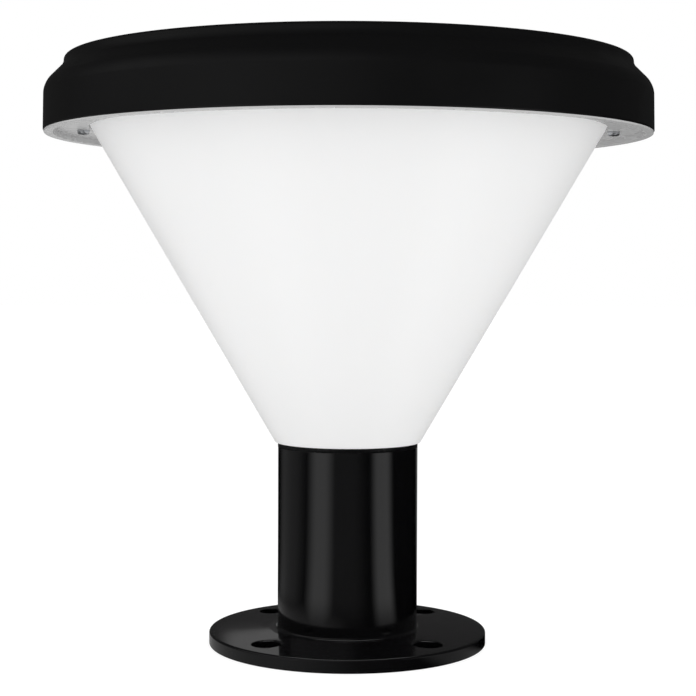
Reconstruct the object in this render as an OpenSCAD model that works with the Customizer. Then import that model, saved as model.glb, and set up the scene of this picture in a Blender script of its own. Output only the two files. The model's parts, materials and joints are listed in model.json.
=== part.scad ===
// Solar wall-top light: a round solar head over an opal cone, on a short tube with a bolted flange.
// Millimetres, +Z up. The origin is the middle of the flange's underside, which rests on the wall.

/* [Wall flange] */
// Diameter of the round flange
flange_d = 101; // [94:1:120]
// Thickness of the flange at its rim
flange_rim = 4.8; // [3:0.2:6]
// Rise of the flange's top from its rim to the tube
flange_rise = 0.8; // [0.6:0.2:3]
// Diameter of the circle through the bolt holes
bolt_circle = 80; // [74:1:84]
// Diameter of each bolt hole
bolt_hole = 10.6; // [6:0.2:12]
// Diameter of the hole through the flange's middle
cable_hole = 40; // [20:1:44]
// How far the tube's foot sinks into the flange
socket_depth = 3.6; // [2:0.2:4]

/* [Tube] */
// Outer diameter of the tube
tube_d = 51; // [46:0.5:56]
// Wall of the tube
tube_wall = 1.5; // [1.2:0.1:3]
// Height of the tube's top above the wall
tube_top = 72; // [60:1:120]

/* [Neck] */
// Length of the neck plug inside the tube
neck_reach = 28; // [20:1:40]
// Wall of the neck plug
neck_wall = 3; // [2.4:0.2:5]
// Thickness of the plug's plate under its lip
neck_plate = 3; // [2:0.5:6]
// Thickness of the plug's lip between tube and cone
neck_lip = 1.5; // [1.2:0.1:3]
// Clearance round the plug in the tube
neck_fit = 0.1; // [0.05:0.05:0.1]
// Drop of the grub screws below the tube's top
grub_drop = 14; // [9:1:16]
// Diameter of the circle through the neck screws
neck_screw_circle = 26; // [22:1:28]

/* [Diffuser] */
// Height of the cone from its foot to the skirt's lower edge
cone_h = 111.3; // [90:0.1:140]
// How far the cone's foot stands out from the tube
cone_overhang = 1; // [0:0.1:3]
// Wall of the cone
cone_wall = 2.4; // [1.6:0.2:3]
// Thickness of the cone's floor
cone_floor = 3; // [2:0.5:5]
// Thickness of the diffuser's clamped flange
diffuser_lip = 2; // [1.6:0.2:3]

/* [Head] */
// Outer diameter of the head
head_d = 218; // [196:1:240]
// Height of the head from skirt edge to rim
head_h = 26; // [25.5:0.5:32]
// Height of the upright skirt
skirt_h = 12.9; // [11:0.1:13.5]
// How far the skirt leans in over its height
skirt_draft = 0.3; // [0:0.1:1]
// Wall of the skirt
skirt_wall = 2.5; // [2:0.1:3]
// Radius of the shoulder above the skirt
shoulder_r = 7; // [6:0.5:10]
// Radius of the hollow curve below the rim
hollow_r = 4; // [2:0.5:6]
// Inset of the raised rim from the skirt
rim_inset = 7.4; // [5:0.2:8]
// Width of the rim round the panel
rim_w = 7; // [5:0.5:15]

/* [Solar panel] */
// Depth of the glass below the rim
glass_set = 0.6; // [0.2:0.2:1.4]
// Thickness of the glass
glass_t = 3.2; // [2:0.2:4]
// Distance from the outermost cells' corners to the glass's edge
cell_margin = 4.3; // [3:0.1:20]

/* [Underside] */
// Width of the underside from the cone to the skirt's outer face
soffit_w = 17.7; // [16:0.1:24]
// Depth of the underside above the lip
soffit_recess = 1.5; // [1:0.1:2]
// Thickness of the underside ring
soffit_t = 2.2; // [1.8:0.1:3]
// Width of the lip along the ring's edge, under the skirt
soffit_lip_w = 3.3; // [3:0.1:4]
// How far the lip stands below the skirt
soffit_lip_drop = 0.7; // [0.5:0.1:1]
// Number of screws that clamp the underside
clamp_count = 2; // [2:1:6]
// Diameter of the screws that clamp the underside
clamp_screw_d = 2.6; // [2.5:0.1:3]

/* [Electrics] */
// Diameter of each battery cell
battery_d = 18.4; // [14:0.1:18.6]
// Length of each battery cell
battery_l = 65; // [50:0.5:70]
// Diameter of the lamp board
led_board_d = 124; // [110:1:130]
// Number of emitters in the outer ring
led_outer_count = 16; // [8:1:24]
// Number of emitters in the inner ring
led_inner_count = 8; // [4:1:12]
// Travel of the power button
button_travel = 1.2; // [0.5:0.1:1.5]

/* [Hidden] */

$fn = 96;
tiny = 0.01;
// Gap round a screw's shank in its own hole
thread_gap = 0.05;
// Gap beside parts that drop into place
loose = 0.4;
// Width and height of a screw's head, as shares of its shank's diameter
screw_head_share = 1.7;
screw_height_share = 0.6;
// Gap beside parts that seat closely
close = 0.2;

// Tube and flange
tube_r = tube_d / 2;
bore_r = tube_r - tube_wall;
hub_z = flange_rim + flange_rise;
hub_land = 3;
flange_edge_round = 0.8;
flange_foot_chamfer = 0.4;
socket_gap = 0.05;
socket_z = hub_z - socket_depth;
bead_leg = 0.9;
bead_gap = 0.02;
bolt_count = 4;
bolt_turn = 45;

// Neck plug and its screws
plug_r = bore_r - neck_fit;
lip_z = tube_top;
cone_z = lip_z + neck_lip;
plate_z = lip_z - neck_plate;
plug_foot_z = lip_z - neck_reach;
neck_boss_r = 4;
neck_boss_len = 8;
neck_screw_d = 4;
neck_screw_len = 11;
neck_screw_count = 3;
neck_gasket_w = 3;
neck_gasket_t = 1;
neck_gasket_r = bore_r - neck_gasket_w - 1.5;
grub_d = 4;
grub_z = tube_top - grub_drop;
grub_groove_h = grub_d + 1;
grub_groove_depth = 1.4;
grub_reach = tube_wall + neck_fit + grub_groove_depth - 0.3;
grub_angles = [45, 135];
grub_head_seat = 0.05;

// The cone's slope, and its outer and inner radius at a height
cone_low_r = tube_r + cone_overhang;
head_z = cone_z + cone_h;
head_r = head_d / 2;
cone_slope = (head_r - soffit_w - cone_low_r) / cone_h;
cone_wall_level = cone_wall * sqrt(1 + cone_slope * cone_slope);
function cone_r(z) = cone_low_r + (z - cone_z) * cone_slope;
function cone_inner_r(z) = cone_r(z) - cone_wall_level;

// Heights of the stack that the soffit screws clamp
gasket_t = 0.8;
tray_t = 2;
soffit_z = head_z + soffit_recess;
soffit_top = soffit_z + soffit_t;
lip_low_z = head_z - soffit_lip_drop;
diffuser_lip_z = soffit_top + gasket_t;
tray_lip_z = diffuser_lip_z + diffuser_lip;
tray_lip_top = tray_lip_z + tray_t;

// Rings of the underside, from the cone outwards
soffit_gap = 0.5;
soffit_low_r = cone_r(soffit_z) + soffit_gap;
soffit_in_r = cone_r(soffit_top) + soffit_gap;
soffit_lip_r = head_r - 0.3;
soffit_lip_gap = 0.1;
skirt_in_r = head_r - skirt_wall;
soffit_r = skirt_in_r - close;
upstand_w = 1.9;
upstand_top = tray_lip_z - 0.7;
seal_t = 0.8;
ledge_z = upstand_top + seal_t;
ledge_w = 2.1;
ledge_r = skirt_in_r - ledge_w;
clamped_r = ledge_r - loose;
rib_w = 1.6;
rib_r = clamped_r - loose;

// Clamping screws: spacers on the soffit ring reach up to the housing's bosses
spacer_wall = 1.7;
spacer_r = clamp_screw_d / 2 + spacer_wall;
spacer_hole_r = spacer_r + 0.3;
spacer_top = tray_lip_top - loose;
clamp_inset = 3.3;
clamp_r = soffit_low_r + clamp_inset;
clamp_screw_len = 14;

// Push switch, at the back of the underside
switch_angle = 45;
switch_r = 4;
switch_seal_t = 0.6;
switch_z = soffit_top + switch_seal_t;
switch_h = 10.4;
button_r = 2.6;
button_gap = 0.25;
button_out = 1.2;
switch_hole_r = switch_r + 0.3;
switch_circle_r = rib_r - rib_w - switch_r - 0.35;
button_low_z = soffit_z - button_out;
collar_r = 3.2;
collar_h = 2;
collar_z = switch_z + close;
collar_top = collar_z + collar_h;
button_room = button_travel + 0.6;

// Head outline: skirt, shoulder, 45 degree slope, hollow curve, rim
top_z = head_z + head_h;
skirt_edge_round = 0.5;
skirt_top_r = head_r - skirt_draft;
skirt_top_z = head_z + skirt_h;
rim_r = head_r - rim_inset;
rim_round = 1.4;
rim_inner_round = 0.5;
shoulder_cx = skirt_top_r - shoulder_r;
slope_sum = shoulder_cx + skirt_top_z + 2 * shoulder_r * cos(45);
hollow_cz = slope_sum - rim_r + hollow_r * (2 * cos(45) - 1);
recess_r = rim_r - rim_w;

// Solar panel layers, from the glass down
glass_gap = 0.6;
glass_r = recess_r - glass_gap;
glass_edge = 0.4;
cell_layer_t = 0.4;
cell_t = 0.22;
ribbon_t = cell_layer_t - cell_t;
ribbon_w = 1.6;
ribbon_inset = 0.25;
backsheet_t = 0.8;
adhesive_t = 1;
adhesive_w = 8;
adhesive_inset = 1;
deck_t = 2;
cell_gap = 1.6;
cell_columns = 2;
cell_rows = 6;
cell_field = 2 * (glass_r - cell_margin) * cos(45);
cell_l = (cell_field - cell_gap * (cell_columns - 1)) / cell_columns;
cell_w = (cell_field - cell_gap * (cell_rows - 1)) / cell_rows;
glass_top = top_z - glass_set;
glass_z = glass_top - glass_t;
cell_z = glass_z - cell_layer_t;
backsheet_z = cell_z - backsheet_t;
deck_top = backsheet_z - adhesive_t;
ceiling_z = deck_top - deck_t;
inner_shoulder_r = shoulder_r - (skirt_top_r - ledge_r);
ceiling_r = ledge_r - inner_shoulder_r + 2 * inner_shoulder_r * cos(45) + skirt_top_z - ceiling_z;
rib_top = ceiling_r + ceiling_z - rib_r + rib_w + 0.3;

// Gear tray, hung inside the cone's mouth
battery_lift = 0.6;
battery_headroom = 0.8;
tray_floor_top = ceiling_z - battery_headroom - battery_d - battery_lift;
tray_z = tray_floor_top - tray_t;
tray_gap = 1.6;
dish_r = cone_inner_r(tray_z) - tray_gap;
dish_in_r = dish_r - tray_t;

// Layout on the tray
battery_pitch = battery_d + 1;
battery_row_y = 16;
battery_z = tray_floor_top + battery_lift + battery_d / 2;
battery_edge = 0.6;
battery_cap_r = 3.4;
battery_cap_h = 0.8;
cradle_h = 6;
cradle_wall = 2;
cradle_end_h = battery_d * 0.7;
cradle_grip = 0.2;
tab_t = 0.3;
tab_side = 7;
tab_tongue_w = 4;
tab_tongue_h = 2.6;
cradle_l = battery_l + 2 * (tab_t + close);
tab_x = (battery_l + close + tab_t) / 2;
board_l = 62;
board_w = 38;
board_t = 1.6;
board_y = -32;
standoff_h = 4;
standoff_r = 3;
standoff_inset = 4;
board_z = tray_floor_top + standoff_h;
board_top = board_z + board_t;
small_screw_d = 2.5;
small_screw_len = 5;
socket_l = 8;
socket_w = 6;
socket_h = 6;
socket_wall = 0.8;
socket_floor = 1.6;
socket_inset = 5;
socket_y = board_y + board_w / 2 - socket_inset;
battery_socket_x = -19;
panel_socket_x = -7;
led_socket_x = 7;
switch_socket_x = 19;
socket_xs = [battery_socket_x, panel_socket_x, led_socket_x, switch_socket_x];
inductor_d = 9;
inductor_h = 5.5;
inductor_x = -14;
inductor_flange = 1.2;
capacitor_d = 6.3;
capacitor_h = 8;
capacitor_xs = [0, 9];
chip_l = 5;
chip_w = 6.2;
chip_h = 1.6;
chip_xs = [19, 26];
parts_y = board_y - 6;

// Lamp board under the tray
pad_t = 0.4;
pad_inset = 2;
led_board_t = 1.6;
pad_z = tray_z - pad_t;
led_board_z = pad_z - led_board_t;
led_l = 3.5;
led_w = 2.8;
led_t = 0.8;
led_inset = 12;
led_outer_r = led_board_d / 2 - led_inset;
led_inner_r = led_outer_r / 2;
led_screw_r = (led_outer_r + led_inner_r) / 2;
led_screw_angles = [0, 180, 270];
led_boss_h = 5;
led_wire_hole_r = 3;
led_wire_x = led_socket_x;
led_wire_y = -3;
panel_wire_hole_r = 5;
panel_wire_y = socket_y + socket_w;
wire_d = 1.5;
wire_spread = 1.1;
wire_steps = 5;
wire_sides = 6;
wire_stub = 2;
wire_rise = 6;
wire_drop = 3;
wire_side_gap = 5;
wire_bend = 9;
wire_z = (board_top + socket_h + ceiling_z) / 2;
cradle_end_x = cradle_l / 2 + cradle_wall;

// Points of an arc about c, from angle a0 to a1, in n steps
function arc(c, r, a0, a1, n) =
    [for (i = [0:n]) let (a = a0 + (a1 - a0) * i / n) [c[0] + r * cos(a), c[1] + r * sin(a)]];

// A point on the smooth curve from b to c, with a before and d after them
function between(a, b, c, d, t) =
    (2 * b + (c - a) * t + (2 * a - 5 * b + 4 * c - d) * t * t + (3 * b - a - 3 * c + d) * t * t * t) / 2;

// A smooth path through the points p, straight along its first and last stretch
function smooth_path(p, steps) = let (n = len(p)) concat([p[0]],
    [for (i = [1:n - 3], k = [0:steps - 1]) between(p[i - 1], p[i], p[i + 1], p[i + 2], k / steps)],
    [p[n - 2], p[n - 1]]);
function unit(v) = v / norm(v);

// Flat ring from radius a to b, with its underside at z
module ring(a, b, z, h) {
    translate([0, 0, z])
        difference() {
            cylinder(r = b, h = h);
            translate([0, 0, -tiny])
                cylinder(r = a, h = h + 2 * tiny);
        }
}

// Repeats its children on a circle of radius r
module around(count, r, turn = 0) {
    for (i = [0:count - 1])
        rotate([0, 0, turn + 360 * i / count])
            translate([r, 0, 0])
                children();
}

// Round pin from z upwards
module pin(r, z, h) {
    translate([0, 0, z])
        cylinder(r = r, h = h, $fn = 48);
}

// Places its children at the push switch's axis
module at_switch() {
    rotate([0, 0, switch_angle])
        translate([switch_circle_r, 0, 0])
            children();
}

// Cross-recess screw standing on its seat at the origin, shank down and head up
module pan_screw(d, length) {
    head_d = d * screw_head_share;
    head_h = d * screw_height_share;
    recess_w = d * 0.22;
    difference() {
        union() {
            pin(d / 2, -length, length + tiny);
            rotate_extrude($fn = 48)
                polygon(concat([[0, 0], [head_d / 2, 0]],
                    arc([head_d / 2 - head_h * 0.6, head_h * 0.4], head_h * 0.6, 0, 90, 4), [[0, head_h]]));
        }
        for (a = [0, 90])
            rotate([0, 0, a])
                translate([-head_d * 0.3, -recess_w / 2, head_h * 0.45])
                    cube([head_d * 0.6, recess_w, head_h]);
    }
}

// Round tube along a path, as one closed skin
module swept_tube(path, d) {
    n = len(path);
    side = [0.31, 0.17, 0.11];
    rings = [for (i = [0:n - 1])
        let (t = unit(path[min(i + 1, n - 1)] - path[max(i - 1, 0)]))
            let (u = unit(cross(t, side)), v = cross(t, u))
                [for (k = [0:wire_sides - 1])
                    let (a = 360 * k / wire_sides) path[i] + d / 2 * (cos(a) * u + sin(a) * v)]];
    points = [for (r = rings) each r];
    walls = [for (i = [0:n - 2], k = [0:wire_sides - 1])
        let (a = i * wire_sides + k, b = i * wire_sides + (k + 1) % wire_sides)
            each [[a, b + wire_sides, b], [a, a + wire_sides, b + wire_sides]]];
    last = (n - 1) * wire_sides;
    caps = [[for (k = [0:wire_sides - 1]) k], [for (k = [wire_sides - 1:-1:0]) last + k]];
    polyhedron(points, concat(walls, caps));
}

// A lead from start along out, through the points via, then straight down to end
module wire(start, out, via, end) {
    mouth = end + [0, 0, wire_rise];
    points = concat([start, start + wire_stub * out], via, [mouth + [0, 0, wire_drop], mouth, end]);
    swept_tube(smooth_path(points, wire_steps), wire_d);
}

// A red and a black lead side by side, set apart along across
module wire_pair(start, out, via, end, across) {
    for (s = [-1, 1])
        let (shift = s * wire_spread * across)
            color(s < 0 ? "firebrick" : "black")
                wire(start + shift, out, [for (p = via) p + shift], end + shift);
}

module wall_flange() {
    flange_r = flange_d / 2;
    edge = flange_edge_round;
    foot = flange_foot_chamfer;
    socket_r = tube_r + socket_gap;
    color("#141414")
        difference() {
            rotate_extrude()
                polygon(concat(
                    [[cable_hole / 2, 0], [flange_r - foot, 0], [flange_r, foot]],
                    arc([flange_r - edge, flange_rim - edge], edge, 0, 80, 4),
                    [[tube_r + hub_land, hub_z], [socket_r, hub_z],
                     [socket_r, socket_z], [cable_hole / 2, socket_z]]));
            around(bolt_count, bolt_circle / 2, bolt_turn)
                pin(bolt_hole / 2, -1, hub_z + 2);
        }
}

module weld_bead() {
    inner = tube_r + bead_gap;
    top = hub_z + bead_leg;
    color("#1a1a1a")
        rotate_extrude()
            polygon(concat([[inner, hub_z]],
                arc([inner + bead_leg, top], bead_leg, 260, 190, 5), [[inner, top]]));
}

module mount_tube() {
    color("#101010")
        difference() {
            ring(bore_r, tube_r, socket_z, tube_top - socket_z);
            for (a = grub_angles)
                rotate([0, 0, a])
                    translate([bore_r - 1, 0, grub_z])
                        rotate([0, 90, 0])
                            cylinder(d = grub_d + 2 * thread_gap, h = tube_wall + 2, $fn = 48);
        }
}

module grub_screws() {
    color("silver")
        for (a = grub_angles)
            rotate([0, 0, a])
                translate([tube_r + grub_head_seat, 0, grub_z])
                    rotate([0, 90, 0])
                        pan_screw(grub_d, grub_reach + grub_head_seat);
}

module neck_spigot() {
    boss_low_z = plate_z - neck_boss_len;
    color("#181818")
        difference() {
            union() {
                ring(plug_r - neck_wall, plug_r, plug_foot_z, neck_reach);
                pin(plug_r, plate_z, neck_plate);
                translate([0, 0, lip_z])
                    cylinder(r = tube_r, h = neck_lip);
                around(neck_screw_count, neck_screw_circle / 2)
                    pin(neck_boss_r, boss_low_z, lip_z - boss_low_z);
            }
            ring(plug_r - grub_groove_depth, plug_r + 1, grub_z - grub_groove_h / 2, grub_groove_h);
            ring(neck_gasket_r, neck_gasket_r + neck_gasket_w, cone_z - neck_gasket_t, neck_gasket_t + 1);
            around(neck_screw_count, neck_screw_circle / 2)
                pin(neck_screw_d / 2 + thread_gap, boss_low_z - 1, cone_z - boss_low_z + 2);
        }
}

module neck_gasket() {
    color("dimgray")
        ring(neck_gasket_r + thread_gap, neck_gasket_r + neck_gasket_w - thread_gap,
            cone_z - neck_gasket_t, neck_gasket_t);
}

module neck_screws() {
    color("silver")
        around(neck_screw_count, neck_screw_circle / 2)
            translate([0, 0, cone_z + cone_floor])
                pan_screw(neck_screw_d, neck_screw_len);
}

module diffuser() {
    floor_top = cone_z + cone_floor;
    lip_top = diffuser_lip_z + diffuser_lip;
    color("white")
        difference() {
            rotate_extrude()
                polygon([
                    [0, cone_z], [cone_low_r, cone_z],
                    [cone_r(diffuser_lip_z), diffuser_lip_z], [clamped_r, diffuser_lip_z],
                    [clamped_r, lip_top], [cone_inner_r(lip_top), lip_top],
                    [cone_inner_r(floor_top), floor_top], [0, floor_top]]);
            around(clamp_count, clamp_r)
                pin(spacer_hole_r, soffit_top - close, diffuser_lip + gasket_t + 1);
            at_switch()
                pin(switch_hole_r, diffuser_lip_z - 1, diffuser_lip + 2);
            around(neck_screw_count, neck_screw_circle / 2)
                pin(neck_screw_d / 2 + close, cone_z - 1, cone_floor + 2);
        }
}

module diffuser_gasket() {
    color("dimgray")
        difference() {
            ring(soffit_in_r + close, clamped_r, soffit_top, gasket_t);
            around(clamp_count, clamp_r)
                pin(spacer_hole_r, soffit_top - 1, gasket_t + 2);
            at_switch()
                pin(switch_hole_r, soffit_top - 1, gasket_t + 2);
        }
}

module soffit_ring() {
    plate_r = soffit_lip_r - soffit_lip_w;
    lip_round = 0.3;
    lip_top_z = head_z - soffit_lip_gap;
    color("silver")
        difference() {
            union() {
                rotate_extrude()
                    polygon(concat(
                        [[soffit_low_r, soffit_z], [plate_r, soffit_z]],
                        arc([plate_r + lip_round, lip_low_z + lip_round], lip_round, 180, 270, 3),
                        arc([soffit_lip_r - lip_round, lip_low_z + lip_round], lip_round, 270, 360, 3),
                        [[soffit_lip_r, lip_top_z], [soffit_r, lip_top_z],
                         [soffit_r, upstand_top], [soffit_r - upstand_w, upstand_top],
                         [soffit_r - upstand_w, soffit_top], [soffit_in_r, soffit_top]]));
                around(clamp_count, clamp_r)
                    pin(spacer_r, soffit_top - tiny, spacer_top - soffit_top + tiny);
            }
            around(clamp_count, clamp_r)
                pin(clamp_screw_d / 2 + thread_gap, soffit_z - 1, spacer_top - soffit_z + 2);
            at_switch()
                pin(button_r + button_gap, soffit_z - 1, soffit_t + 2);
        }
}

module soffit_seal() {
    color("dimgray")
        ring(ledge_r + close, soffit_r, upstand_top, seal_t);
}

module soffit_screws() {
    color("silver")
        around(clamp_count, clamp_r)
            translate([0, 0, soffit_z])
                rotate([180, 0, 0])
                    pan_screw(clamp_screw_d, clamp_screw_len);
}

// Half section of the housing's shell
function housing_outline() = concat(
    [[head_r - skirt_edge_round, head_z], [head_r, head_z + skirt_edge_round]],
    arc([shoulder_cx, skirt_top_z], shoulder_r, 0, 45, 6),
    arc([rim_r + hollow_r, hollow_cz], hollow_r, 225, 180, 5),
    arc([rim_r - rim_round, top_z - rim_round], rim_round, 0, 90, 4),
    arc([recess_r + rim_inner_round, top_z - rim_inner_round], rim_inner_round, 90, 180, 3),
    [[recess_r, deck_top], [0, deck_top], [0, ceiling_z], [ceiling_r, ceiling_z]],
    arc([ledge_r - inner_shoulder_r, skirt_top_z], inner_shoulder_r, 45, 0, 4),
    [[ledge_r, ledge_z], [skirt_in_r, ledge_z], [skirt_in_r, head_z]]);

module top_housing() {
    color("#121212")
        difference() {
            union() {
                rotate_extrude()
                    polygon(housing_outline());
                ring(rib_r - rib_w, rib_r, tray_lip_top, rib_top - tray_lip_top);
                around(clamp_count, clamp_r)
                    pin(spacer_r, spacer_top, ceiling_z + deck_t / 2 - spacer_top);
            }
            around(clamp_count, clamp_r)
                pin(clamp_screw_d / 2 + thread_gap, spacer_top - 1, ceiling_z - spacer_top + 1);
            translate([panel_socket_x, panel_wire_y, 0])
                pin(panel_wire_hole_r, ceiling_z - 1, deck_t + 2);
        }
}

module panel_adhesive() {
    color("black")
        ring(glass_r - adhesive_w - adhesive_inset, glass_r - adhesive_inset, deck_top, adhesive_t);
}

module panel_backsheet() {
    color("white")
        pin(glass_r - close, backsheet_z, backsheet_t);
}

// Places its children at the corner of each cell strip
module at_each_cell() {
    for (c = [0:cell_columns - 1], r = [0:cell_rows - 1])
        translate([(c - cell_columns / 2) * (cell_l + cell_gap) + cell_gap / 2,
                   (r - cell_rows / 2) * (cell_w + cell_gap) + cell_gap / 2, cell_z])
            children();
}

module solar_cells() {
    color("midnightblue")
        at_each_cell()
            cube([cell_l, cell_w, cell_t]);
}

module cell_ribbons() {
    color("silver")
        at_each_cell()
            for (share = [ribbon_inset, 1 - ribbon_inset])
                translate([cell_l * share - ribbon_w / 2, 0, cell_t])
                    cube([ribbon_w, cell_w, ribbon_t]);
}

module panel_glass() {
    color([0.6, 0.7, 0.8, 0.4])
        rotate_extrude()
            polygon([[0, glass_z], [glass_r, glass_z], [glass_r, glass_top - glass_edge],
                     [glass_r - glass_edge, glass_top], [0, glass_top]]);
}

module panel_seal() {
    seal_top = glass_top - glass_edge;
    color("black")
        ring(glass_r + thread_gap, recess_r - thread_gap, backsheet_z, seal_top - backsheet_z);
}

module gear_tray() {
    color("whitesmoke")
        difference() {
            union() {
                rotate_extrude()
                    polygon([[0, tray_z], [dish_r, tray_z], [dish_r, tray_lip_z], [clamped_r, tray_lip_z],
                             [clamped_r, tray_lip_top], [dish_in_r, tray_lip_top],
                             [dish_in_r, tray_floor_top], [0, tray_floor_top]]);
                at_board_corners()
                    pin(standoff_r, tray_z, board_z - tray_z);
                at_led_screws()
                    pin(standoff_r, tray_z, led_boss_h);
            }
            at_board_corners()
                pin(small_screw_d / 2 + thread_gap, tray_z + 1, board_z);
            at_led_screws()
                pin(small_screw_d / 2 + thread_gap, tray_z - 1, small_screw_len + 1);
            around(clamp_count, clamp_r)
                pin(spacer_hole_r, tray_lip_z - 1, tray_t + 2);
            at_switch()
                pin(switch_hole_r, tray_lip_z - 1, tray_t + 2);
            translate([led_wire_x, led_wire_y, 0])
                pin(led_wire_hole_r, tray_z - 1, tray_t + 2);
        }
}

// Middle of battery cell 0 or 1
function battery_at(i) = [0, battery_row_y + i * battery_pitch, battery_z];

// Places its children at the battery cells' axes, the second cell turned end for end
module at_each_battery() {
    for (i = [0, 1])
        translate(battery_at(i))
            rotate([0, 90 + 180 * i, 0])
                children();
}

module battery_cradle() {
    depth = 2 * battery_pitch;
    y0 = battery_row_y - battery_pitch / 2;
    color("#202020")
        difference() {
            union() {
                translate([-cradle_l / 2, y0, tray_floor_top])
                    cube([cradle_l, depth, cradle_h]);
                for (s = [-1, 1])
                    translate([s * (cradle_l + cradle_wall) / 2 - cradle_wall / 2, y0, tray_floor_top])
                        cube([cradle_wall, depth, cradle_end_h]);
            }
            at_each_battery()
                cylinder(d = battery_d + 2 * cradle_grip, h = cradle_l, center = true);
        }
}

module battery_cells() {
    side_r = battery_d / 2;
    shoulder_z = battery_l - battery_cap_h;
    color("royalblue")
        at_each_battery()
            translate([0, 0, -battery_l / 2])
                rotate_extrude($fn = 64)
                    polygon([[0, 0], [side_r - battery_edge, 0], [side_r, battery_edge],
                             [side_r, shoulder_z - battery_edge], [side_r - battery_edge, shoulder_z],
                             [battery_cap_r, shoulder_z], [battery_cap_r, battery_l], [0, battery_l]]);
}

module battery_tabs() {
    tongue_z = battery_at(0)[2];
    tongue_len = tray_floor_top + cradle_end_h + tab_tongue_h - tongue_z;
    color("silver") {
        for (i = [0, 1])
            translate(battery_at(i) - [tab_x, 0, 0]) {
                cube([tab_t, tab_side, tab_side], center = true);
                translate([-tab_t / 2, -tab_tongue_w / 2, 0])
                    cube([tab_t, tab_tongue_w, tongue_len]);
            }
        translate((battery_at(0) + battery_at(1)) / 2 + [tab_x, 0, 0])
            cube([tab_t, battery_pitch + tab_side, tab_side], center = true);
    }
}

// Places its children at the control board's screw points
module at_board_corners() {
    for (x = [-1, 1], y = [-1, 1])
        translate([x * (board_l / 2 - standoff_inset), board_y + y * (board_w / 2 - standoff_inset), 0])
            children();
}

module control_board() {
    color("darkgreen")
        difference() {
            translate([-board_l / 2, board_y - board_w / 2, board_z])
                cube([board_l, board_w, board_t]);
            at_board_corners()
                pin(small_screw_d / 2 + close, board_z - 1, board_t + 2);
        }
}

module board_screws() {
    color("silver")
        at_board_corners()
            translate([0, 0, board_top])
                pan_screw(small_screw_d, small_screw_len);
}

module charge_inductor() {
    color("#303030")
        translate([inductor_x, parts_y, 0])
            difference() {
                pin(inductor_d / 2, board_top, inductor_h);
                ring(inductor_d / 2 - inductor_flange, inductor_d, board_top + inductor_flange,
                    inductor_h - 2 * inductor_flange);
            }
}

module board_capacitors() {
    color("slategray")
        for (x = capacitor_xs)
            translate([x, parts_y, 0])
                pin(capacitor_d / 2, board_top, capacitor_h);
}

module board_chips() {
    color("#0a0a0a")
        for (x = chip_xs)
            translate([x - chip_l / 2, parts_y - chip_w / 2, board_top])
                cube([chip_l, chip_w, chip_h]);
}

module wire_sockets() {
    color("ivory")
        for (x = socket_xs)
            translate([x - socket_l / 2, socket_y - socket_w / 2, board_top])
                difference() {
                    cube([socket_l, socket_w, socket_h]);
                    translate([socket_wall, socket_wall, socket_floor])
                        cube([socket_l - 2 * socket_wall, socket_w - 2 * socket_wall, socket_h]);
                }
}

// Places its children at the lamp board's screws
module at_led_screws() {
    for (a = led_screw_angles)
        rotate([0, 0, a])
            translate([led_screw_r, 0, 0])
                children();
}

module thermal_pad() {
    color("lightsteelblue")
        difference() {
            pin(led_board_d / 2 - pad_inset, pad_z, pad_t);
            at_led_screws()
                pin(small_screw_d / 2 + close, pad_z - 1, pad_t + 2);
            translate([led_wire_x, led_wire_y, 0])
                pin(led_wire_hole_r, pad_z - 1, pad_t + 2);
        }
}

module led_board() {
    color("white")
        difference() {
            pin(led_board_d / 2, led_board_z, led_board_t);
            at_led_screws()
                pin(small_screw_d / 2 + close, led_board_z - 1, led_board_t + 2);
        }
}

module led_emitters() {
    color("khaki")
        for (row = [[led_outer_count, led_outer_r], [led_inner_count, led_inner_r]])
            around(row[0], row[1], 180 / row[0])
                translate([-led_l / 2, -led_w / 2, led_board_z - led_t])
                    cube([led_l, led_w, led_t]);
}

module led_screws() {
    color("silver")
        at_led_screws()
            translate([0, 0, led_board_z])
                rotate([180, 0, 0])
                    pan_screw(small_screw_d, small_screw_len);
}

// Foot of the leads in the socket at x
function plug_point(x) = [x, socket_y, board_top + socket_floor];

module panel_wires() {
    end = plug_point(panel_socket_x);
    start = [panel_socket_x, panel_wire_y, backsheet_z];
    wire_pair(start, [0, 0, -1],
        [[panel_socket_x, (panel_wire_y + end[1]) / 2, wire_z + wire_d]], end, [1, 0, 0]);
}

module battery_wires() {
    end = plug_point(battery_socket_x);
    start_z = tray_floor_top + cradle_end_h + tab_tongue_h - wire_d / 2;
    near_x = -cradle_end_x - wire_side_gap;
    far_x = near_x - 3 * wire_spread;
    near = battery_at(0)[1];
    far = battery_at(1)[1];
    color("firebrick")
        wire([-tab_x - tab_t / 2, near, start_z], [-1, 0, 0],
            [[near_x, near - wire_bend, wire_z], [(near_x + end[0]) / 2, end[1] + wire_rise, wire_z]],
            end + [0, wire_spread, 0]);
    color("black")
        wire([-tab_x - tab_t / 2, far, start_z], [-1, 0, 0],
            [[far_x, far - wire_bend, wire_z], [far_x, near - 1.5 * wire_bend, wire_z],
             [(far_x + end[0]) / 2, end[1] - wire_spread, wire_z]], end - [0, wire_spread, 0]);
}

module led_wires() {
    end = plug_point(led_socket_x);
    start = [led_wire_x, led_wire_y, led_board_z + led_board_t];
    wire_pair(start, [0, 0, 1],
        [[led_wire_x, led_wire_y, board_top + wire_rise],
         [led_wire_x, (led_wire_y + end[1]) / 2, wire_z + wire_d]], end, [1, 0, 0]);
}

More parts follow.
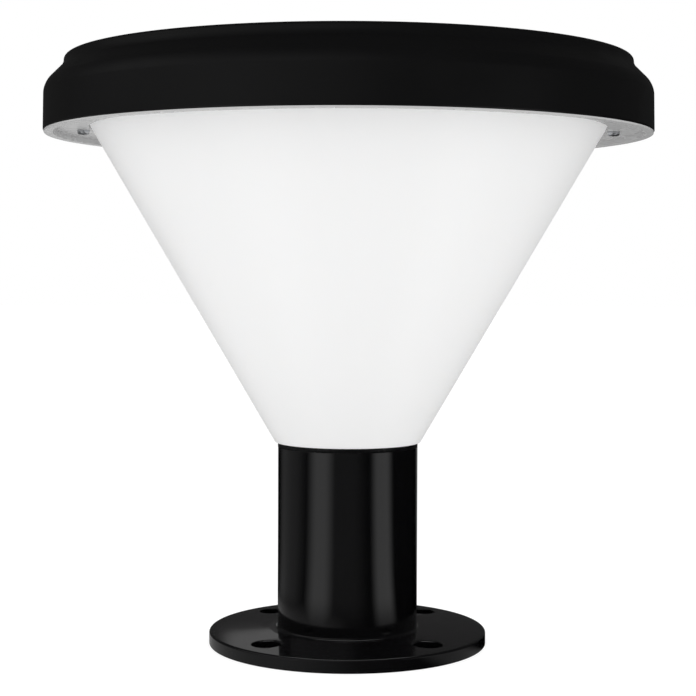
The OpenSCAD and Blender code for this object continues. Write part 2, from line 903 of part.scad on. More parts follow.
module switch_wires() {
    end = plug_point(switch_socket_x);
    inward = -[cos(switch_angle), sin(switch_angle), 0];
    start = [0, 0, switch_z + switch_h - wire_d] - (switch_circle_r - switch_r) * inward;
    side_x = cradle_end_x + wire_side_gap + wire_spread;
    wire_pair(start, inward,
        [[side_x + wire_side_gap, battery_at(1)[1] + wire_bend, wire_z],
         [side_x, battery_at(0)[1] - wire_bend, wire_z],
         [(side_x + end[0]) / 2, end[1] + wire_drop, wire_z]], end, [-inward[1], inward[0], 0]);
}

module switch_body() {
    color("#1c1c1c")
        at_switch()
            difference() {
                pin(switch_r, switch_z, switch_h);
                pin(collar_r + button_gap, switch_z - 1, collar_top + button_room - switch_z + 1);
            }
}

module switch_seal() {
    color("black")
        at_switch()
            ring(button_r + button_gap, switch_r, soffit_top, switch_seal_t);
}

module power_button() {
    tip_round = 0.6;
    color("darkred")
        at_switch()
            rotate_extrude($fn = 48)
                polygon(concat([[0, button_low_z]],
                    arc([button_r - tip_round, button_low_z + tip_round], tip_round, 270, 360, 3),
                    [[button_r, collar_z], [collar_r, collar_z], [collar_r, collar_top], [0, collar_top]]));
}

wall_flange();
weld_bead();
mount_tube();
grub_screws();
neck_spigot();
neck_gasket();
neck_screws();
diffuser();
diffuser_gasket();
soffit_ring();
soffit_seal();
soffit_screws();
top_housing();
panel_adhesive();
panel_backsheet();
solar_cells();
cell_ribbons();
panel_glass();
panel_seal();
gear_tray();
battery_cradle();
battery_cells();
battery_tabs();
control_board();
board_screws();
charge_inductor();
board_capacitors();
board_chips();
wire_sockets();
thermal_pad();
led_board();
led_emitters();
led_screws();
panel_wires();
battery_wires();
led_wires();
switch_wires();
switch_body();
switch_seal();
power_button();
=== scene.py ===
"""A solar wall-top light: black solar head, opal cone, and a black tube on a bolted round flange.

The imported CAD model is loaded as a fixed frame. The pieces that show are modelled again with rounded
edges and fine sections, and everything else gets its finish on the CAD node itself. Meshes are shaped
in millimetres, and their objects are in metres at the origin.
"""

import json
import logging
from dataclasses import dataclass, field
from enum import Enum
from math import cos, hypot, pi, radians, sin, tan
from typing import Union

import bmesh
import bpy
from mathutils import Matrix, Vector

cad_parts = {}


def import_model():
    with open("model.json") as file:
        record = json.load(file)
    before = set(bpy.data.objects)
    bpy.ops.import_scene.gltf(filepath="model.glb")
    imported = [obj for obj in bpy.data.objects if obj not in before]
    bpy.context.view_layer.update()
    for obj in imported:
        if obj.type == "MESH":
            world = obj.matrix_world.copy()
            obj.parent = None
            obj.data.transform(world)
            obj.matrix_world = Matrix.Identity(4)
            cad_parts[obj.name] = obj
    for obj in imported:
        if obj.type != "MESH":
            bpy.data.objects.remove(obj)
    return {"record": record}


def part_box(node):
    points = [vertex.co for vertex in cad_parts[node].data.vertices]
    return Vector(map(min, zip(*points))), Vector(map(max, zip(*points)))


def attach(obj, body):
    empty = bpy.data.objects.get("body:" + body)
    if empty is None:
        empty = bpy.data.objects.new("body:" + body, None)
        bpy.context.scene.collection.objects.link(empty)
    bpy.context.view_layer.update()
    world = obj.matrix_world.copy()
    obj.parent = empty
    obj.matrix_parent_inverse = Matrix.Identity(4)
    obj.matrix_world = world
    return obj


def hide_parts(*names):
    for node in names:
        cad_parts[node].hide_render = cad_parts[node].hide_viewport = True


LOG = logging.getLogger("wall_top_light")
MM = 0.001
# Points of a new section closer than this are one point
MERGE_MM = 0.0005
# Points of a cut or copied mesh, in metres, closer than this are one point
MERGE_M = 1e-6
# How far a cutter reaches past what it cuts
PAST_MM = 1.0
# Gap that keeps a thin bead off the piece it lies against
HAIR_MM = 0.02
# Nearly all of a noise texture's values lie between these
NOISE_LOW, NOISE_HIGH = 0.3, 0.7
# Roughness never wanders below this
LEAST_ROUGHNESS = 0.02
# Within this distance from the axis, in metres, floor and cloth are painted dark: a painted shade under the
# flange
SHADE_R = 0.05
# Width of the fade along the edge of that painted shade
SHADE_FADE = 0.003
WHITE = (1.0, 1.0, 1.0, 1.0)
# What an input of a node takes: another node's output, or a plain value
Link = Union[bpy.types.NodeSocket, float, tuple]


def linear(hex_code: str) -> tuple:
    """Turn an sRGB hex colour into linear red, green, blue and alpha.

    Args:
        hex_code: Six hex digits, such as "1a1a1c".

    Returns:
        Four values from 0 to 1, with alpha 1.
    """
    shares = [int(hex_code[i:i + 2], 16) / 255 for i in (0, 2, 4)]
    bright = [s / 12.92 if s <= 0.04045 else ((s + 0.055) / 1.055) ** 2.4 for s in shares]
    return (*bright, 1.0)


def add_node(tree: bpy.types.NodeTree, kind: str, inputs: dict, **settings) -> bpy.types.Node:
    """Add a node with its settings, and fill or link its inputs.

    Args:
        tree: The node tree that the node joins.
        kind: Blender's type name of the node.
        inputs: Input name or number, mapped to a value or to another node's output.
        **settings: Properties set on the node itself, before its inputs.

    Returns:
        The new node.
    """
    node = tree.nodes.new(kind)
    for name, value in settings.items():
        setattr(node, name, value)
    for name, value in inputs.items():
        if isinstance(value, bpy.types.NodeSocket):
            tree.links.new(value, node.inputs[name])
        else:
            node.inputs[name].default_value = value
    return node


def span(value: Link, start: float, end: float, first: float, last: float) -> dict:
    """Return the inputs that make one level rise or fall as a value runs from start to end.

    Args:
        value: What the level follows.
        start: Value up to which the first level holds.
        end: Value from which the last level holds.
        first: The first level.
        last: The last level.

    Returns:
        Input names of a Map Range node, mapped to what they get.
    """
    return {"Value": value, "From Min": start, "From Max": end, "To Min": first, "To Max": last}


class Surface(Enum):
    """How a surface was made, which decides the shape of its fine relief."""

    MOULDED = "spark-eroded grain left by the mould"
    SPRAYED = "orange peel left by sprayed and baked paint"
    DRAWN = "long scratches left by drawing or rolling"
    CAST = "soft flow left by a poured or pressed part"


# How the relief's pattern is drawn out along each axis: below 1 makes it longer
STRETCH = {Surface.DRAWN: (1.0, 1.0, 0.03), Surface.CAST: (0.4, 0.4, 1.0)}


@dataclass(frozen=True)
class Finish:
    """A real material and the way its surface was made.

    Attributes:
        name: Common name of the material, used for the Blender material.
        colour: sRGB hex of the clean surface.
        roughness: Mean roughness.
        surface: How the surface was made.
        grain_mm: Distance between neighbouring bumps of the relief.
        depth_mm: Height of the relief.
        metallic: 1 for bare metal.
        specular: Principled's specular level, 0.5 for most plastics.
        mottle: Share by which the colour wanders, cloud by cloud.
        cloud_mm: Size of those clouds.
        wander: How far the roughness wanders each way.
    """

    name: str
    colour: str
    roughness: float
    surface: Surface = Surface.MOULDED
    grain_mm: float = 0.6
    depth_mm: float = 0.01
    metallic: float = 0.0
    specular: float = 0.5
    mottle: float = 0.08
    cloud_mm: float = 18.0
    wander: float = 0.05

    def material(self) -> bpy.types.Material:
        """Make this finish's material the first time it is asked for.

        Returns:
            The one material of that name.
        """
        material = bpy.data.materials.get(self.name)
        if material is None:
            material = bpy.data.materials.new(self.name)
            material.use_nodes = True
            self.fill(material.node_tree)
        return material

    def fill(self, tree: bpy.types.NodeTree) -> None:
        """Build the nodes: clouded colour, wandering roughness and the fine relief.

        Args:
            tree: The new material's node tree, with its Principled shader.
        """
        shader = tree.nodes["Principled BSDF"]
        place = add_node(tree, "ShaderNodeTexCoord", {}).outputs["Object"]
        clouds = add_node(tree, "ShaderNodeTexNoise", {
            "Vector": place, "Scale": 1 / (self.cloud_mm * MM), "Detail": 4.0}).outputs["Fac"]
        colour = self.coloured(tree, place, self.clouded(tree, clouds))
        least = max(self.roughness - self.wander, LEAST_ROUGHNESS)
        most = min(self.roughness + self.wander, 1.0)
        sheen = add_node(tree, "ShaderNodeMapRange", span(clouds, NOISE_LOW, NOISE_HIGH, least, most))
        relief = add_node(tree, "ShaderNodeBump", {
            "Height": self.relief(tree, place), "Distance": self.depth_mm * MM, "Strength": 1.0})
        tree.links.new(colour, shader.inputs["Base Color"])
        tree.links.new(sheen.outputs["Result"], shader.inputs["Roughness"])
        tree.links.new(relief.outputs["Normal"], shader.inputs["Normal"])
        shader.inputs["Metallic"].default_value = self.metallic
        if not self.metallic:
            shader.inputs["Specular IOR Level"].default_value = self.specular

    def clouded(self, tree: bpy.types.NodeTree, clouds: Link) -> Link:
        """Let the finish's colour run a little darker and lighter from cloud to cloud.

        Args:
            tree: The material's node tree.
            clouds: The clouds, from 0 to 1.

        Returns:
            The output socket that holds the colour.
        """
        base = linear(self.colour)[:3]
        dark = (*(c * (1 - self.mottle) for c in base), 1.0)
        light = (*(min(c * (1 + self.mottle), 1.0) for c in base), 1.0)
        # A Mix node's two colours are its inputs 6 and 7, and the mixed one is its output 2
        return add_node(tree, "ShaderNodeMix", {0: clouds, 6: dark, 7: light}, data_type="RGBA").outputs[2]

    def coloured(self, tree: bpy.types.NodeTree, place: Link, colour: Link) -> Link:
        """Return the final colour: the clouded one, unless a finish prints more on it."""
        return colour

    def relief(self, tree: bpy.types.NodeTree, place: Link) -> Link:
        """Draw the fine relief of this kind of surface.

        Args:
            tree: The material's node tree.
            place: Object coordinates.

        Returns:
            The output socket that holds the height.
        """
        scale = 1 / (self.grain_mm * MM)
        if self.surface is Surface.MOULDED:
            return add_node(tree, "ShaderNodeTexNoise", {
                "Vector": place, "Scale": scale, "Detail": 2.0}).outputs["Fac"]
        if self.surface is Surface.SPRAYED:
            return add_node(tree, "ShaderNodeTexVoronoi", {
                "Vector": place, "Scale": scale}, feature="SMOOTH_F1").outputs["Distance"]
        drawn = add_node(tree, "ShaderNodeMapping", {"Vector": place, "Scale": STRETCH[self.surface]})
        return add_node(tree, "ShaderNodeTexNoise", {
            "Vector": drawn.outputs["Vector"], "Scale": scale, "Detail": 3.0}).outputs["Fac"]


@dataclass(frozen=True)
class Opal(Finish):
    """Opal acrylic: white pigment right through the wall, so light soaks in and the shade stays even; a
    painted glow evens it further.

    Attributes:
        soak: Share of the light that soaks in.
        soak_mm: How far it travels inside the wall.
        soak_tint: That distance for red, green and blue, as shares.
        painted_glow: Painted glow, a flat white emission the same under any light, as a share of white; it
            evens out the cone's shading.
    """

    soak: float = 0.3
    soak_mm: float = 3.0
    soak_tint: tuple = (1.0, 0.96, 0.9)
    painted_glow: float = 0.15

    def fill(self, tree: bpy.types.NodeTree) -> None:
        """Add the light that soaks through the wall, and the painted glow, to the common nodes.

        Args:
            tree: The new material's node tree.
        """
        super().fill(tree)
        inputs = tree.nodes["Principled BSDF"].inputs
        inputs["Subsurface Weight"].default_value = self.soak
        inputs["Subsurface Radius"].default_value = self.soak_tint
        inputs["Subsurface Scale"].default_value = self.soak_mm * MM
        # Painted glow: a flat white emission, the same under any light, that evens out the cone's shading
        inputs["Emission Color"].default_value = WHITE
        inputs["Emission Strength"].default_value = self.painted_glow


@dataclass(frozen=True)
class Glazing(Finish):
    """Toughened low-iron glass: clear, with a rolled face that softens what it mirrors.

    Attributes:
        ior: How strongly it bends light.
    """

    ior: float = 1.5

    def fill(self, tree: bpy.types.NodeTree) -> None:
        """Make the glass clear, and let light pass straight through it so that the cells below are lit.

        Args:
            tree: The new material's node tree.
        """
        super().fill(tree)
        shader = tree.nodes["Principled BSDF"]
        shader.inputs["Transmission Weight"].default_value = 1.0
        shader.inputs["IOR"].default_value = self.ior
        path = add_node(tree, "ShaderNodeLightPath", {}).outputs
        lights = add_node(tree, "ShaderNodeMath", {
            0: path["Is Shadow Ray"], 1: path["Is Diffuse Ray"]}, operation="MAXIMUM")
        clear = add_node(tree, "ShaderNodeBsdfTransparent", {})
        shown = add_node(tree, "ShaderNodeMixShader", {
            0: lights.outputs[0], 1: shader.outputs["BSDF"], 2: clear.outputs["BSDF"]})
        tree.links.new(shown.outputs["Shader"], tree.nodes["Material Output"].inputs["Surface"])


@dataclass(frozen=True)
class Silicon(Finish):
    """Monocrystalline cell: dark blue nitride coat with thin printed silver fingers.

    Attributes:
        finger: sRGB hex of the silver.
        finger_pitch_mm: Distance between fingers.
        finger_w_mm: Width of a finger. A real one is 0.05 mm, which is too fine to show.
    """

    finger: str = "8f959c"
    finger_pitch_mm: float = 1.6
    finger_w_mm: float = 0.12

    def coloured(self, tree: bpy.types.NodeTree, place: Link, colour: Link) -> Link:
        """Print the fingers over the coat, across the cell.

        Args:
            tree: The material's node tree.
            place: Object coordinates.
            colour: The coat's colour.

        Returns:
            The output socket that holds the colour.
        """
        y = add_node(tree, "ShaderNodeSeparateXYZ", {"Vector": place}).outputs["Y"]
        count = add_node(tree, "ShaderNodeMath", {
            0: y, 1: 1 / (self.finger_pitch_mm * MM)}, operation="MULTIPLY")
        part = add_node(tree, "ShaderNodeMath", {0: count.outputs[0]}, operation="FRACT")
        printed = add_node(tree, "ShaderNodeMath", {
            0: part.outputs[0], 1: self.finger_w_mm / self.finger_pitch_mm}, operation="LESS_THAN")
        return add_node(tree, "ShaderNodeMix", {
            0: printed.outputs[0], 6: colour, 7: linear(self.finger)}, data_type="RGBA").outputs[2]


# Gloss black enamel, sprayed and baked on steel: deep black that mirrors, with a soft orange peel
ENAMEL = Finish("gloss_enamel", "080809", 0.08, Surface.SPRAYED, grain_mm=1.8, depth_mm=0.003, mottle=0.12,
                wander=0.02)
# ABS in black, from a mould with a fine spark-eroded grain: a soft, even sheen
BLACK_ABS = Finish("black_abs", "0c0c0d", 0.4, grain_mm=0.7, depth_mm=0.014, specular=0.28, mottle=0.12)
# The same plastic in pale grey, from a smoother mould: a light satin underside
GREY_ABS = Finish("grey_abs", "cacaca", 0.26, grain_mm=0.7, depth_mm=0.006, mottle=0.02)
# Opal acrylic, blow-formed: smooth, white right through, so its shading stays soft, with a painted glow that
# flattens it further
OPAL = Opal("opal_acrylic", "f0f0f0", 0.32, Surface.CAST, grain_mm=22.0, depth_mm=0.03, specular=0.3,
            mottle=0.01, cloud_mm=60.0, wander=0.04)
# Zinc-plated steel, barrel-plated: bright with faint clouds
ZINC = Finish("zinc_plated_steel", "b9bbbe", 0.3, Surface.CAST, grain_mm=0.5, depth_mm=0.004, metallic=1.0)
# Blackened zinc on the screws that show against the tube: dark, with a dull shine on the edges
BLACK_ZINC = Finish("black_zinc", "1b1b1c", 0.34, Surface.CAST, grain_mm=0.5, depth_mm=0.004, specular=0.3)
# Cured silicone and rubber: dull and slightly lumpy
SILICONE = Finish("silicone_rubber", "131314", 0.62, Surface.CAST, grain_mm=2.5, depth_mm=0.05, specular=0.35)
# Low-iron glass, rolled and toughened: clear, with a faint wave in what it mirrors
GLASS = Glazing("low_iron_glass", "ffffff", 0.04, Surface.CAST, grain_mm=6.0, depth_mm=0.001, wander=0.01,
                mottle=0.0)
# Silicon cut from one crystal and coated with nitride: navy that shifts a little from cell to cell
CELL = Silicon("monocrystalline_silicon", "0c1738", 0.3, Surface.CAST, grain_mm=3.0, depth_mm=0.001,
               specular=0.15, mottle=0.25, cloud_mm=26.0)
# Copper ribbon dipped in tin: its dull skin scatters about half of the light like paint
RIBBON = Finish("tinned_copper", "d4d6d8", 0.4, Surface.DRAWN, grain_mm=0.25, depth_mm=0.006, metallic=0.5)
# Black laminate, pressed: a flat dark ground round the cells
LAMINATE = Finish("black_laminate", "0b0c10", 0.4, Surface.CAST, grain_mm=1.2, depth_mm=0.002, specular=0.15)
# ABS in white, moulded: bright and even
WHITE_ABS = Finish("white_abs", "dcdcda", 0.45, grain_mm=0.8, depth_mm=0.01, mottle=0.03)
# Vinyl sleeve, shrunk on the battery cells: strong blue with a smooth shine
SLEEVE = Finish("battery_sleeve", "1d4f9c", 0.28, Surface.CAST, grain_mm=3.0, depth_mm=0.01)
# Nickel strip, rolled: warm grey metal with fine lines
NICKEL = Finish("nickel_strip", "b8b2a6", 0.3, Surface.DRAWN, grain_mm=0.3, depth_mm=0.005, metallic=1.0)
# Solder mask, printed on the circuit board: glossy dark green
SOLDER_MASK = Finish("green_solder_mask", "0d4a2a", 0.3, Surface.CAST, grain_mm=1.4, depth_mm=0.01)
# The same in white under the emitters: chalky, so that it throws their light out
WHITE_MASK = Finish("white_solder_mask", "e8e9e6", 0.4, Surface.CAST, grain_mm=1.4, depth_mm=0.01,
                    mottle=0.02)
# Ferrite, pressed and fired: dull dark grey with a fine grain
FERRITE = Finish("ferrite", "2a2b2d", 0.7, grain_mm=0.4, depth_mm=0.02)
# Aluminium can, deep-drawn: bright, with fine lines up its side
CAN = Finish("aluminium_can", "c4c6c8", 0.28, Surface.DRAWN, grain_mm=0.3, depth_mm=0.004, metallic=1.0)
# Epoxy resin, moulded round the chips: nearly black and matt
RESIN = Finish("epoxy_resin", "161617", 0.55, grain_mm=0.3, depth_mm=0.008)
# Nylon without dye, moulded: cream with a soft sheen
NYLON = Finish("natural_nylon", "ddd8c6", 0.5, grain_mm=0.6, depth_mm=0.01, mottle=0.03)
# Silicone pad filled with ceramic, rolled: dull grey-blue
PAD = Finish("thermal_pad", "9aa7b5", 0.8, Surface.CAST, grain_mm=1.0, depth_mm=0.03)
# Phosphor in clear gel, poured over the emitters: yellow with a wet shine
PHOSPHOR = Finish("phosphor_gel", "e6c94a", 0.3, Surface.CAST, grain_mm=0.8, depth_mm=0.02)
# Vinyl insulation, extruded on the leads: dark red with a soft shine
LEAD = Finish("pvc_lead", "8c1616", 0.45, Surface.CAST, grain_mm=1.2, depth_mm=0.01)


@dataclass(frozen=True)
class Extent:
    """The box of a CAD node, in millimetres.

    Attributes:
        low: Lowest corner.
        high: Highest corner.
    """

    low: Vector
    high: Vector

    @classmethod
    def of(cls, node: str) -> "Extent":
        """Read a node's box from the frame."""
        low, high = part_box(node)
        return cls(low / MM, high / MM)

    @property
    def radius(self) -> float:
        """Outer radius of a round node about the Z axis."""
        return self.high.x

    @property
    def middle(self) -> Vector:
        """Middle of the box."""
        return (self.low + self.high) / 2

    @property
    def size(self) -> Vector:
        """Length of the box along each axis."""
        return self.high - self.low

    @property
    def axis(self) -> Matrix:
        """The move from the Z axis to the upright axis through the node's middle."""
        return Matrix.Translation((self.middle.x, self.middle.y, 0))


@dataclass(frozen=True)
class Corner:
    """One corner of a half section, in millimetres.

    Attributes:
        r: Distance from the axis.
        z: Height.
        radius: Radius that the corner is rounded to, 0 for a sharp one.
    """

    r: float
    z: float
    radius: float = 0.0


def band(inner: float, outer: float, low: float, high: float, rounds: tuple = (0, 0, 0, 0)) -> list[Corner]:
    """List the corners of a square half section.

    Args:
        inner: Inner radius, 0 for a disc.
        outer: Outer radius.
        low: Height of its underside.
        high: Height of its top.
        rounds: Radius of each corner, in order from the inner lower one past the outer ones.

    Returns:
        The four corners.
    """
    ends = ((inner, low), (outer, low), (outer, high), (inner, high))
    return [Corner(r, z, radius) for (r, z), radius in zip(ends, rounds)]


def turned(corners: list[Corner], sides: int = 192, steps: int = 5) -> bmesh.types.BMesh:
    """Spin a closed half section about the Z axis into a solid.

    Args:
        corners: The section's corners in order, all at or beside the axis.
        sides: Number of sides of the full turn.
        steps: Segments of each rounded corner.

    Returns:
        The mesh, in millimetres, closed and facing outwards.
    """
    mesh = bmesh.new()
    points = [mesh.verts.new((c.r, 0.0, c.z)) for c in corners]
    for i, point in enumerate(points):
        # A side along the axis would sweep no face, so it gets no edge
        on_axis = corners[i].r == 0 and corners[i - 1].r == 0
        if not on_axis:
            mesh.edges.new((points[i - 1], point))
    for i, corner in enumerate(corners):
        if corner.radius:
            before = corners[i - 1]
            after = corners[(i + 1) % len(corners)]
            back = Vector((before.r - corner.r, before.z - corner.z))
            ahead = Vector((after.r - corner.r, after.z - corner.z))
            reach = corner.radius / tan(back.angle(ahead) / 2)
            bmesh.ops.bevel(mesh, geom=[points[i]], offset=reach, offset_type="ABSOLUTE", segments=steps,
                            profile=0.5, affect="VERTICES", material=-1)
    bmesh.ops.spin(mesh, geom=mesh.verts[:] + mesh.edges[:], cent=(0, 0, 0), axis=(0, 0, 1), angle=2 * pi,
                   steps=sides, use_merge=True, use_duplicate=False)
    bmesh.ops.remove_doubles(mesh, verts=mesh.verts[:], dist=MERGE_MM)
    bmesh.ops.recalc_face_normals(mesh, faces=mesh.faces[:])
    return mesh


def bar(size: tuple, axis: int, cut: float, steps: int = 1) -> bmesh.types.BMesh:
    """Make a box round the origin and bevel its four edges along one axis.

    Args:
        size: Its length along each axis, in millimetres.
        axis: Number of the axis that the bevelled edges run along.
        cut: Width of the bevel.
        steps: Segments of the bevel.

    Returns:
        The mesh, in millimetres.
    """
    mesh = bmesh.new()
    bmesh.ops.create_cube(mesh, size=1.0, matrix=Matrix.Diagonal((*size, 1)))
    along = [e for e in mesh.edges if abs(e.verts[0].co[axis] - e.verts[1].co[axis]) > size[axis] / 2]
    bmesh.ops.bevel(mesh, geom=along, offset=cut, segments=steps, profile=0.5, affect="EDGES", material=-1)
    return mesh


def scaled(mesh: bmesh.types.BMesh, factor: float) -> None:
    """Scale a mesh about the origin."""
    bmesh.ops.scale(mesh, vec=(factor,) * 3, verts=mesh.verts[:])


def made(name: str, mesh: bmesh.types.BMesh, sharp_from: float = 32.0) -> bpy.types.Object:
    """Turn a mesh in millimetres into a smooth-shaded object in metres at the origin.

    Args:
        name: The object's name.
        mesh: The mesh, which is freed.
        sharp_from: Angle between faces, in degrees, above which their edge stays sharp.

    Returns:
        The new object, linked to the scene.
    """
    scaled(mesh, MM)
    data = bpy.data.meshes.new(name)
    mesh.to_mesh(data)
    mesh.free()
    data.shade_smooth()
    data.set_sharp_from_angle(angle=radians(sharp_from))
    piece = bpy.data.objects.new(name, data)
    bpy.context.scene.collection.objects.link(piece)
    return piece


def carved(piece: bpy.types.Object, tool: bmesh.types.BMesh,
           operation: str = "DIFFERENCE") -> bpy.types.Object:
    """Cut a tool out of a piece, or join it on, and keep the result as the piece's own mesh.

    Args:
        piece: The piece, in metres.
        tool: The tool's mesh, in millimetres, which is used up.
        operation: Blender's name for the Boolean step.

    Returns:
        The piece itself.
    """
    cutter = made("cutter", tool)
    step = piece.modifiers.new("Carve", "BOOLEAN")
    step.object = cutter
    step.operation = operation
    step.solver = "EXACT"
    shaped = piece.evaluated_get(bpy.context.evaluated_depsgraph_get())
    rough = piece.data
    piece.data = bpy.data.meshes.new_from_object(shaped)
    piece.data.name = piece.name
    piece.modifiers.clear()
    mesh = bmesh.new()
    mesh.from_mesh(piece.data)
    bmesh.ops.remove_doubles(mesh, verts=mesh.verts[:], dist=MERGE_M)
    mesh.to_mesh(piece.data)
    mesh.free()
    bpy.data.meshes.remove(rough)
    bpy.data.meshes.remove(cutter.data)
    return piece


def copied(pattern: bmesh.types.BMesh, places: list[Matrix]) -> bmesh.types.BMesh:
    """Repeat a mesh at several places.

    Args:
        pattern: The mesh that is repeated, which is freed.
        places: One transform for each copy.

    Returns:
        One mesh that holds all the copies.
    """
    source = bpy.data.meshes.new("pattern")
    pattern.to_mesh(source)
    pattern.free()
    every = bmesh.new()
    for place in places:
        known = len(every.verts)
        every.from_mesh(source)
        every.verts.ensure_lookup_table()
        bmesh.ops.transform(every, matrix=place, verts=every.verts[known:])
    bpy.data.meshes.remove(source)
    return every


def pins(r: float, low: float, high: float, places: list[Matrix]) -> bmesh.types.BMesh:
    """Stand a round pin at each place, to drill holes or to add bosses.

    Args:
        r: Radius of the pins.
        low: Height of their lower end.
        high: Height of their upper end.
        places: One transform for each pin.

    Returns:
        One mesh that holds all the pins.
    """
    return copied(turned(band(0, r, low, high), sides=64), places)


def ring_places(count: int, r: float, turn: float = 0.0) -> list[Matrix]:
    """Spread places evenly on a circle about the Z axis.

    Args:
        count: How many there are.
        r: Radius of the circle.
        turn: Degrees from +X round to the first.

    Returns:
        One transform for each place.
    """
    return [Matrix.Rotation(radians(turn) + 2 * pi * i / count, 4, "Z") @ Matrix.Translation((r, 0, 0))
            for i in range(count)]


def smoothed(node: str) -> bpy.types.Object:
    """Copy a CAD node with its loose triangles merged, so that its round faces shade smoothly.

    Args:
        node: The node's name.

    Returns:
        A new object, named after the node.
    """
    mesh = bmesh.new()
    mesh.from_mesh(bpy.data.objects[node].data)
    bmesh.ops.remove_doubles(mesh, verts=mesh.verts[:], dist=MERGE_M)
    scaled(mesh, 1 / MM)
    return made(f"{node}_shown", mesh)


def dressed(piece: bpy.types.Object, finish: Finish) -> None:
    """Give a piece or a CAD node its finish."""
    piece.data.materials.clear()
    piece.data.materials.append(finish.material())


@dataclass
class SubAssembly:
    """Pieces that ride on one CAD body. Their sizes are in millimetres.

    Attributes:
        slots: Each CAD node's material slot. Not used.
        body: Name of the CAD body.
    """

    slots: dict[str, str]
    body: str = "head"

    def fit(self, piece: bpy.types.Object, finish: Finish, node: str, even: bool = True) -> None:
        """Give a piece its finish, set it on the body and let it stand for a CAD node.

        Args:
            piece: The finished piece.
            finish: What it is made of.
            node: The CAD node that it replaces.
            even: Whether large faces keep a flat shade beside their rounded edges.
        """
        dressed(piece, finish)
        if even:
            piece.modifiers.new("Even shade", "WEIGHTED_NORMAL").keep_sharp = True
        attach(piece, self.body)
        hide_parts(node)
        LOG.info("%s: %d faces, stands for %s", piece.name, len(piece.data.polygons), node)


@dataclass(frozen=True)
class PanScrew:
    """A cross-recess pan-head screw, with its seat at the origin and its head upwards.

    Attributes:
        d: Shank diameter in millimetres.
        length: Length of the shank.
        head_share: Radius of the head for each millimetre of diameter.
        height_share: Height of the head for each millimetre of diameter.
        slot_share: Width of the recess for each millimetre of diameter.
        slot_reach: Length and depth of the recess, as shares of the head's radius and height.
        dome_share: Radius of the head's crown, as a share of its height.
        tip_round: Radius at the shank's end.
        seat_round: Radius at the head's lower edge.
        play: How much wider than the shank its hole is, on each side.
    """

    d: float
    length: float
    head_share: float = 0.85
    height_share: float = 0.6
    slot_share: float = 0.22
    slot_reach: tuple = (1.2, 1.1)
    dome_share: float = 0.6
    tip_round: float = 0.3
    seat_round: float = 0.1
    play: float = 0.05

    @property
    def head_r(self) -> float:
        """Radius of the head."""
        return self.d * self.head_share

    @property
    def hole_r(self) -> float:
        """Radius of the hole that the shank goes through."""
        return self.d / 2 + self.play

    def mesh(self) -> bmesh.types.BMesh:
        """Turn the head and shank, and press the cross recess into the head.

        Returns:
            The mesh, in millimetres.
        """
        shank_r, head_r, head_h = self.d / 2, self.head_r, self.d * self.height_share
        screw = made("screw", turned([
            Corner(0, -self.length), Corner(shank_r, -self.length, self.tip_round), Corner(shank_r, 0),
            Corner(head_r, 0, self.seat_round), Corner(head_r, head_h, head_h * self.dome_share),
            Corner(0, head_h)], sides=48, steps=6))
        reach, deep = self.slot_reach
        slot_size = Matrix.Diagonal((head_r * reach, self.d * self.slot_share, head_h * deep, 1))
        for turn in (0, pi / 2):
            slot = bmesh.new()
            place = Matrix.Rotation(turn, 4, "Z") @ Matrix.Translation((0, 0, head_h)) @ slot_size
            bmesh.ops.create_cube(slot, size=1.0, matrix=place)
            carved(screw, slot)
        result = bmesh.new()
        result.from_mesh(screw.data)
        scaled(result, 1 / MM)
        bpy.data.meshes.remove(screw.data)
        return result


UNDERSIDE_SCREW = PanScrew(2.6, 14.0)


def underside_places() -> list[Matrix]:
    """Return the places of the two screws that hold the underside ring."""
    return ring_places(2, Extent.of("soffit_screws").radius - UNDERSIDE_SCREW.head_r)


